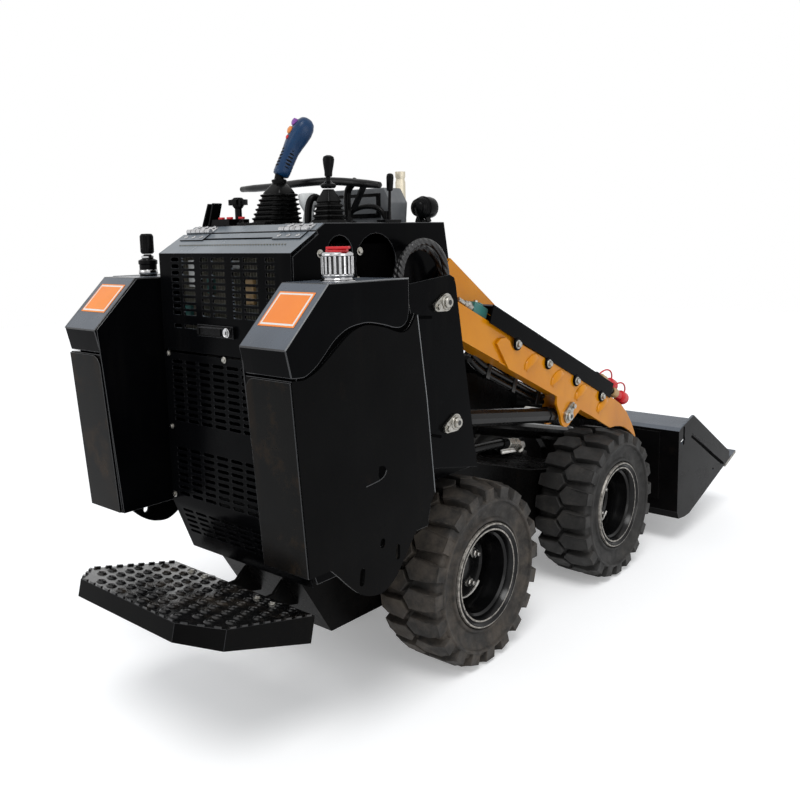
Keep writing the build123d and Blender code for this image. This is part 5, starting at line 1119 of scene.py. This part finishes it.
def louvre(bm, along, side):
    """A half-round pressed louvre, open towards the tower."""
    centre = Vector((0, *arm_spot(0, along, -1).yz))
    face = RIGHT * side * (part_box("arm_gussets")[1].x - 0.002)
    loops = []
    for k in range(9):
        t = math.pi * k / 8
        loop = []
        for u in (math.pi / 2 * m / 6 for m in range(7)):
            spot = Vector((side * 9 * math.sin(t) * math.cos(u), -36 * math.cos(t),
                           20 * math.sin(t) * math.sin(u))) * MM
            loop.append(bm.verts.new(centre + turned(math.radians(24), "X") @ spot + face))
        loops.append(loop)
    skin(bm, loops, (), closed=False)
    floor_spot = bm.verts.new(centre + face + RIGHT * side * 0.0002)
    for p, q in zip(loops, loops[1:]):
        bm.faces.new((p[0], q[0], floor_spot))


def merged(bm):
    bmesh.ops.remove_doubles(bm, verts=bm.verts, dist=0.00005)


def weld_bead(bm, start, end, radius, step):
    """Adds a row of overlapping weld ripples between two points."""
    line = end - start
    count = max(2, int(line.length / MM / step))
    for i in range(count):
        spot = start + line * ((i + 0.5) / count)
        lathe(bm, [(-step * 0.6, radius * 0.6), (0, radius), (step * 0.6, radius * 0.6)], spot, line, 8)


def arm_detail():
    """Painted shade plates inside the arms, the clamp block with its fittings and pipes, and the gussets'
    welds.
    """
    build("arm_shade_plates", PAINTED_SHADE, "arms", "black_paint", [(plates, ARM_SHADE_PLATE, 212, 215)])
    build("hose_clamp", TEAL, "arms", "black_paint", [
        (box, arm_spot(246, 178, ARM_TOP + 15), (46, 58, 28), ARM_TURN),
        (box, arm_spot(246, 178, ARM_TOP + 31), (40, 18, 6), ARM_TURN)], 3)
    parts = []
    for x in (234, 258):
        spot = arm_spot(x, 118, ARM_TOP + 12)
        nut = [(0, 9), (12, 9), (12.5, 11.5), (28, 11.5), (28.5, 8), (33, 8)]
        parts += [(lathe, nut, spot, FORWARD_DOWN, 6), (lathe, [(-26, 6.5), (2, 6.5)], spot, FORWARD_DOWN, 16)]
    build("clamp_fittings", ZINC, "arms", "steel",
          [*parts, (bolt, arm_spot(246, 178, ARM_TOP + 33.5), OFF_ARM, 6, 6)], 0.4, 1)
    for x, name, finish in ((234, "tan", TAN), (258, "black", RUBBER)):
        line = ((205, 12), (230, 13), (262, 12), (300, 12))
        pipe("arm_line_" + name, [arm_spot(x, along, ARM_TOP + up) for along, up in line], 8, finish,
             "arms", "steel")
    build("gusset_welds", ORANGE, "arms", "orange_paint", [
        (weld_bead, arm_spot(s * 276.5, start, above), arm_spot(s * 276.5, end, above), 3.2, 6)
        for s in SIDES for start, end, above in ((290, 560, -39), (380, 690, 39))], smooth=60)


def louvres():
    rows = [(louvre, 426 + i * 145, s) for i in range(4) for s in SIDES]
    build("gusset_louvres", ORANGE, "arms", SLOTS["arm_gussets"], [*rows, (merged,)], smooth=40)


def couplers():
    """Two quick couplers: black collar, tan sleeve, domed red cap on its strap."""
    parts = [(box, arm_spot(251, 909, 34), (46, 6, 68), ARM_TURN, 3),
             (box, arm_spot(251, 921, ARM_TOP + 3), (46, 30, 6), ARM_TURN, 3)]
    for x, along, above in ((262, 909, 65), (240, 863, 91)):
        for index, (sides, *rings) in enumerate((
            (24, (-8, 9), (0, 9), (1, 12), (10, 12), (11, 10), (34, 10)),
            (28, (32, 12), (34, 15), (58, 15), (61, 13)),
            (32, (60, 11), (66, 13), (92, 13), (93, 19), (96, 20), (118, 20), (125, 17), (129, 10),
             (130.5, 2)),
        )):
            parts.append((lathe, rings, arm_spot(x, along, above), FORWARD_DOWN, sides, index))
    build("quick_couplers", (PLASTIC, TAN, RED, BLACK), "arms", "steel", parts, 0.8, 1,
          replaces=("hose_fittings",))
    for hand, x, along, above in (("right", 266, 975, 65), ("left", 236, 930, 91)):
        line = ((0, -40, 10), (4, -26, 28), (4, 12, 42), (2, 44, 34), (0, 46, 16))
        pipe("cap_strap_" + hand, [arm_spot(x + dx, along + on, above + up) for dx, on, up in line],
             2.4, RED, "arms", "steel", 2)


def hard_lines():
    """Drive hose with its plated fitting beside the tub, and pipes under the arms."""
    pipe("drive_hose", [at(*spot) for spot in (
        (176, -40, 505), (180, 60, 503), (180, 140, 499), (181, 205, 495), (182, 262, 490))],
        12, RUBBER, "chassis", "boot_rubber")
    along = Vector((0, 79, -15)).normalized()
    start = at(182, 250, 491)
    build("drive_fitting", (ZINC, RUBBER), "chassis", "steel", [
        *((lathe, [(i * 7, 14.5), (i * 7 + 2, 15.5), (i * 7 + 4, 14.5)], start, along, 24, 1)
          for i in range(4)),
        (lathe, [(28, 13), (30, 15), (44, 15), (46, 12), (60, 12), (61, 15.5), (76, 15.5), (78, 9),
                 (92, 8.5)], start, along, 6),
        (lathe, [(14, 9), (15, 12), (24, 12), (25, 8)], at(182, 330, 474), (0, 0.6, -0.8), 20)], 0.5, 1)
    pipe("drive_return", [at(*spot) for spot in (
        (196, 334, 476), (190, 352, 462), (170, 352, 452), (150, 330, 448), (139, 316, 446))],
        7, STEEL, "chassis", "steel")
    for side, hand in HANDS:
        for below in (49, 66):
            line = ((250, 14), (290, 0), (450, 0), (610, 0), (650, 12))
            pipe("arm_pipe_" + hand + "_" + str(below),
                 [arm_spot(side * PIPE_X, on, up - below) for on, up in line], 8.6, BARREL, "arms", "steel")
    build("arm_pipe_clips", DARK_STEEL, "arms", "steel", [
        (box, arm_spot(s * PIPE_X, on, -57), (20, 16, 40), ARM_TURN)
        for s in SIDES for on in (330, 460, 590)], 1, 1)


keepers()
guard_bolts()
arm_detail()
louvres()
couplers()
hard_lines()


# ---------------------------------------------------------------- bucket and platform
DECK_HINGE = Vector(JOINTS["platform_fold"]["pos_m"])
DECK_TURN = turned(math.radians(JOINTS["platform_fold"]["range_deg"][0]), "X")
DECK_NORMAL = DECK_TURN @ UP
DECK_LEVEL = 24
DECK_HALF = 226
BUTTON_ROWS = 8
BUTTON_GAP = 38


def bucket_detail():
    """Welds inside the bucket, and painted shade for the grooves of its cheeks."""
    low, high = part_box("bucket_shell")
    half = high.x / MM - 8
    face = high.x / MM + 0.2
    rear = from_axle(low.y)
    # y behind and ahead, z behind and ahead: along the floor, and up the back
    lines = ((rear + 104, rear + 430, 94, 94 + 326 * (224 - 88) / 442), (rear + 7, rear + 7, 130, 385))
    build("bucket_welds", BUCKET_PAINT, "bucket", "black_paint", [
        (weld_bead, at(s * half, y, z), at(s * half, y2, z2), 4, 7)
        for s in SIDES for y, y2, z, z2 in lines], smooth=60)
    lean = math.degrees(math.atan2(195 - 360, 1465 - 1153))
    build("cheek_groove_shade", PAINTED_SHADE, "bucket", "black_paint", [
        (plates, oval(*values), face, face + 0.5)
        for values in ((1309, 277.5, 352, 9, lean), (1088, 374, 62, 9, 88))])


def on_deck(x, back, up):
    """A point on the platform: mm behind the hinge line and above it, deck level."""
    return DECK_HINGE + DECK_TURN @ (Vector((x, -back, up)) * MM)


def grip_buttons(bm):
    """Punched buttons in staggered rows, each a little out of place."""
    random.seed(7)
    for row in range(BUTTON_ROWS):
        back = 32 + row * 35
        room = DECK_HALF - max(0, back - 236) * 1.05
        for x in (i * BUTTON_GAP + row % 2 * BUTTON_GAP / 2 for i in range(-6, 7)):
            if abs(x) <= room - 12:
                spot = on_deck(x + random.uniform(-1.5, 1.5), back + random.uniform(-1.5, 1.5), DECK_LEVEL)
                lathe(bm, [(-0.4, 12.5), (1, 11), (2.6, 9.4), (3.4, 8.2), (2.8, 7.2), (0.8, 6.6)], spot,
                      DECK_NORMAL, 18, ends=())
                # a disc of painted shade closes each punched hole
                lathe(bm, [(0.5, 7), (0.7, 0.3)], spot, DECK_NORMAL, 18, 1)


def toothed_rim(bm):
    half = DECK_HALF * DECK_WIDEN - 3
    edge = ((-half, 14), (-half, 240), (-half * 0.7, 303), (half * 0.7, 303), (half, 240), (half, 14))
    for (xa, ya), (xb, yb) in zip(edge, edge[1:]):
        turn = DECK_TURN @ turned(-math.atan2(yb - ya, xb - xa), "Z")
        count = int(math.hypot(xb - xa, yb - ya) / 27)
        for t in ((i + 0.5) / count for i in range(count)):
            box(bm, on_deck(xa + (xb - xa) * t, ya + (yb - ya) * t, DECK_LEVEL + 1.2), (14, 5, 5), turn)


def deck_detail():
    """Grip buttons, toothed edges, bolts and hinge collars of the standing platform."""
    build("deck_grip", (DECK_TOP, PAINTED_SHADE), "platform", "black_paint", [(grip_buttons,), (toothed_rim,)],
          smooth=40)
    build("deck_bolts", ZINC, "platform", "zinc",
          [(bolt, on_deck(s * x, 40, DECK_LEVEL), DECK_NORMAL, 6.5, 5) for s in SIDES for x in (92, 140)],
          0.4, 1)
    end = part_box("platform_hinge")[1].x
    build("hinge_collars", ZINC, "chassis", "zinc", [
        (lathe, [(0, 15), (3, 15), (4, 12), (8, 11)], Vector((s * end, *DECK_HINGE.yz)), RIGHT * s, 24)
        for s in SIDES], 0.4, 1)


bucket_detail()
deck_detail()


# ---------------------------------------------------------------- hose loops
def hose_loop(node):
    """Spiral-wrapped hose over the arm's pivot, on the route of its CAD tube."""
    low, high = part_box(node)
    x, y, _ = middle(node)
    radius = (high.x - low.x) / 2
    bend = (high.y - low.y) / 2 - radius
    z = high.z - radius - bend
    corner = bend / math.cos(math.radians(18))
    arc = [math.radians(degrees) for degrees in (162, 126, 90, 54, 18)]
    points = [Vector((x, y - bend, low.z)),
              *(Vector((x, y + corner * math.cos(a), z + corner * math.sin(a))) for a in arc),
              Vector((x, y + bend, low.z))]
    curve = tube(node, points, radius, 8, 4)
    curve.materials.append(HOSE)
    hose = bpy.data.objects.new(node + "_hose", curve)
    SCENE.collection.objects.link(hose)
    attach(hose, NODE_BODY[node])
    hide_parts(node)


for node in ("hose_loop_outer", "hose_loop_inner"):
    hose_loop(node)


# ---------------------------------------------------------------- floor, light and camera
WHITE = (1, 1, 1)
FLOOR_REACH = 9
FLOOR_TONE = (0.93, 0.93, 0.93)
FLOOR_LIFT = 0.26    # what the floor adds for the camera, so that it reads as white paper
WORLD_TONE = (0.93, 0.96, 1)
WORLD_LIGHT = 0.55
# the camera: place in mm, turn from +Y, downward tilt, roll, lens and shift
CAMERA_SPOT = at(1464.2, -1664.4, 1062.2)
CAMERA_TURN = 0.7177
CAMERA_TILT = -0.1401
CAMERA_ROLL = -0.0211
CAMERA_LENS = 38.63
CAMERA_SHIFT = (0.0103, -0.056)


def paper():
    """A pale matt finish that shows as white to the camera and in reflections."""
    s = Surface("floor_white")
    tone = s.mix(s.spread(s.noise(1.2), 0.4, 0.6), FLOOR_TONE, tuple(0.985 * c for c in FLOOR_TONE))
    seen, _ = s.seen()
    return s.done(tone, s.spread(s.noise(30), 0.3, 0.7, 0.85, 0.95), Specular_IOR_Level=0.1,
                  Emission_Color=WHITE, Emission_Strength=s.math("MULTIPLY", seen, FLOOR_LIFT))


def floor():
    mesh = bpy.data.meshes.new("floor")
    corners = [(x * FLOOR_REACH, y * FLOOR_REACH, 0) for x, y in ((-1, -1), (1, -1), (1, 1), (-1, 1))]
    mesh.from_pydata(corners, [], [(0, 1, 2, 3)])
    mesh.materials.append(paper())
    sheet = bpy.data.objects.new("floor", mesh)
    SCENE.collection.objects.link(sheet)


def world():
    """White where it is seen, in mirrors or through glass; softer and bluish as light."""
    SCENE.world = bpy.data.worlds.new("studio")
    SCENE.world.use_nodes = True
    tree = SCENE.world.node_tree
    tree.nodes.clear()
    n = Nodes(tree)
    seen, rays = n.seen()
    lit = n.add("Background", {"Color": WORLD_TONE, "Strength": WORLD_LIGHT})
    white = n.add("Background", {"Color": WHITE, "Strength": 1})
    both = n.math("MAXIMUM", seen, rays["Is Transmission Ray"])
    mix = n.add("MixShader", {"Fac": both, 1: lit.outputs[0], 2: white.outputs[0]})
    n.add("OutputWorld", {"Surface": mix.outputs[0]})


def staged(name, data, look, spot=(0, 0, 0)):
    """An object for a light or the camera, turned by a quaternion."""
    made = bpy.data.objects.new(name, data)
    SCENE.collection.objects.link(made)
    made.location = spot
    made.rotation_mode = "QUATERNION"
    made.rotation_quaternion = look
    return made


def light(name, kind, spot, energy, aim=(0, 0, 0), **settings):
    """A light at a spot in metres, turned to what it is aimed at."""
    data = bpy.data.lights.new(name, kind)
    data.energy = energy
    for key, value in settings.items():
        setattr(data, key, value)
    staged(name, data, (Vector(aim) - Vector(spot)).to_track_quat("-Z", "Y"), spot)


def camera():
    data = bpy.data.cameras.new("camera")
    data.sensor_width = 36
    data.lens = CAMERA_LENS
    data.shift_x, data.shift_y = CAMERA_SHIFT
    look = turned(CAMERA_TURN, "Z") @ turned(math.pi / 2 + CAMERA_TILT, "X") @ turned(CAMERA_ROLL, "Z")
    SCENE.camera = staged("camera", data, look.to_quaternion(), CAMERA_SPOT)


floor()
world()
light("day", "SUN", (1.2, -1.6, 3.2), 1.35, angle=math.radians(25))
for name, spot, size, power in (("side", (3.6, -1, 1.6), (1.6, 2.4), 26),
                                ("rear", (-1.2, -3.8, 1.9), (2.4, 1.6), 22)):
    light(name, "AREA", spot, power, (0, 0, 0.6), shape="RECTANGLE", size=size[0], size_y=size[1])
camera()
SCENE.view_settings.view_transform = "Standard"
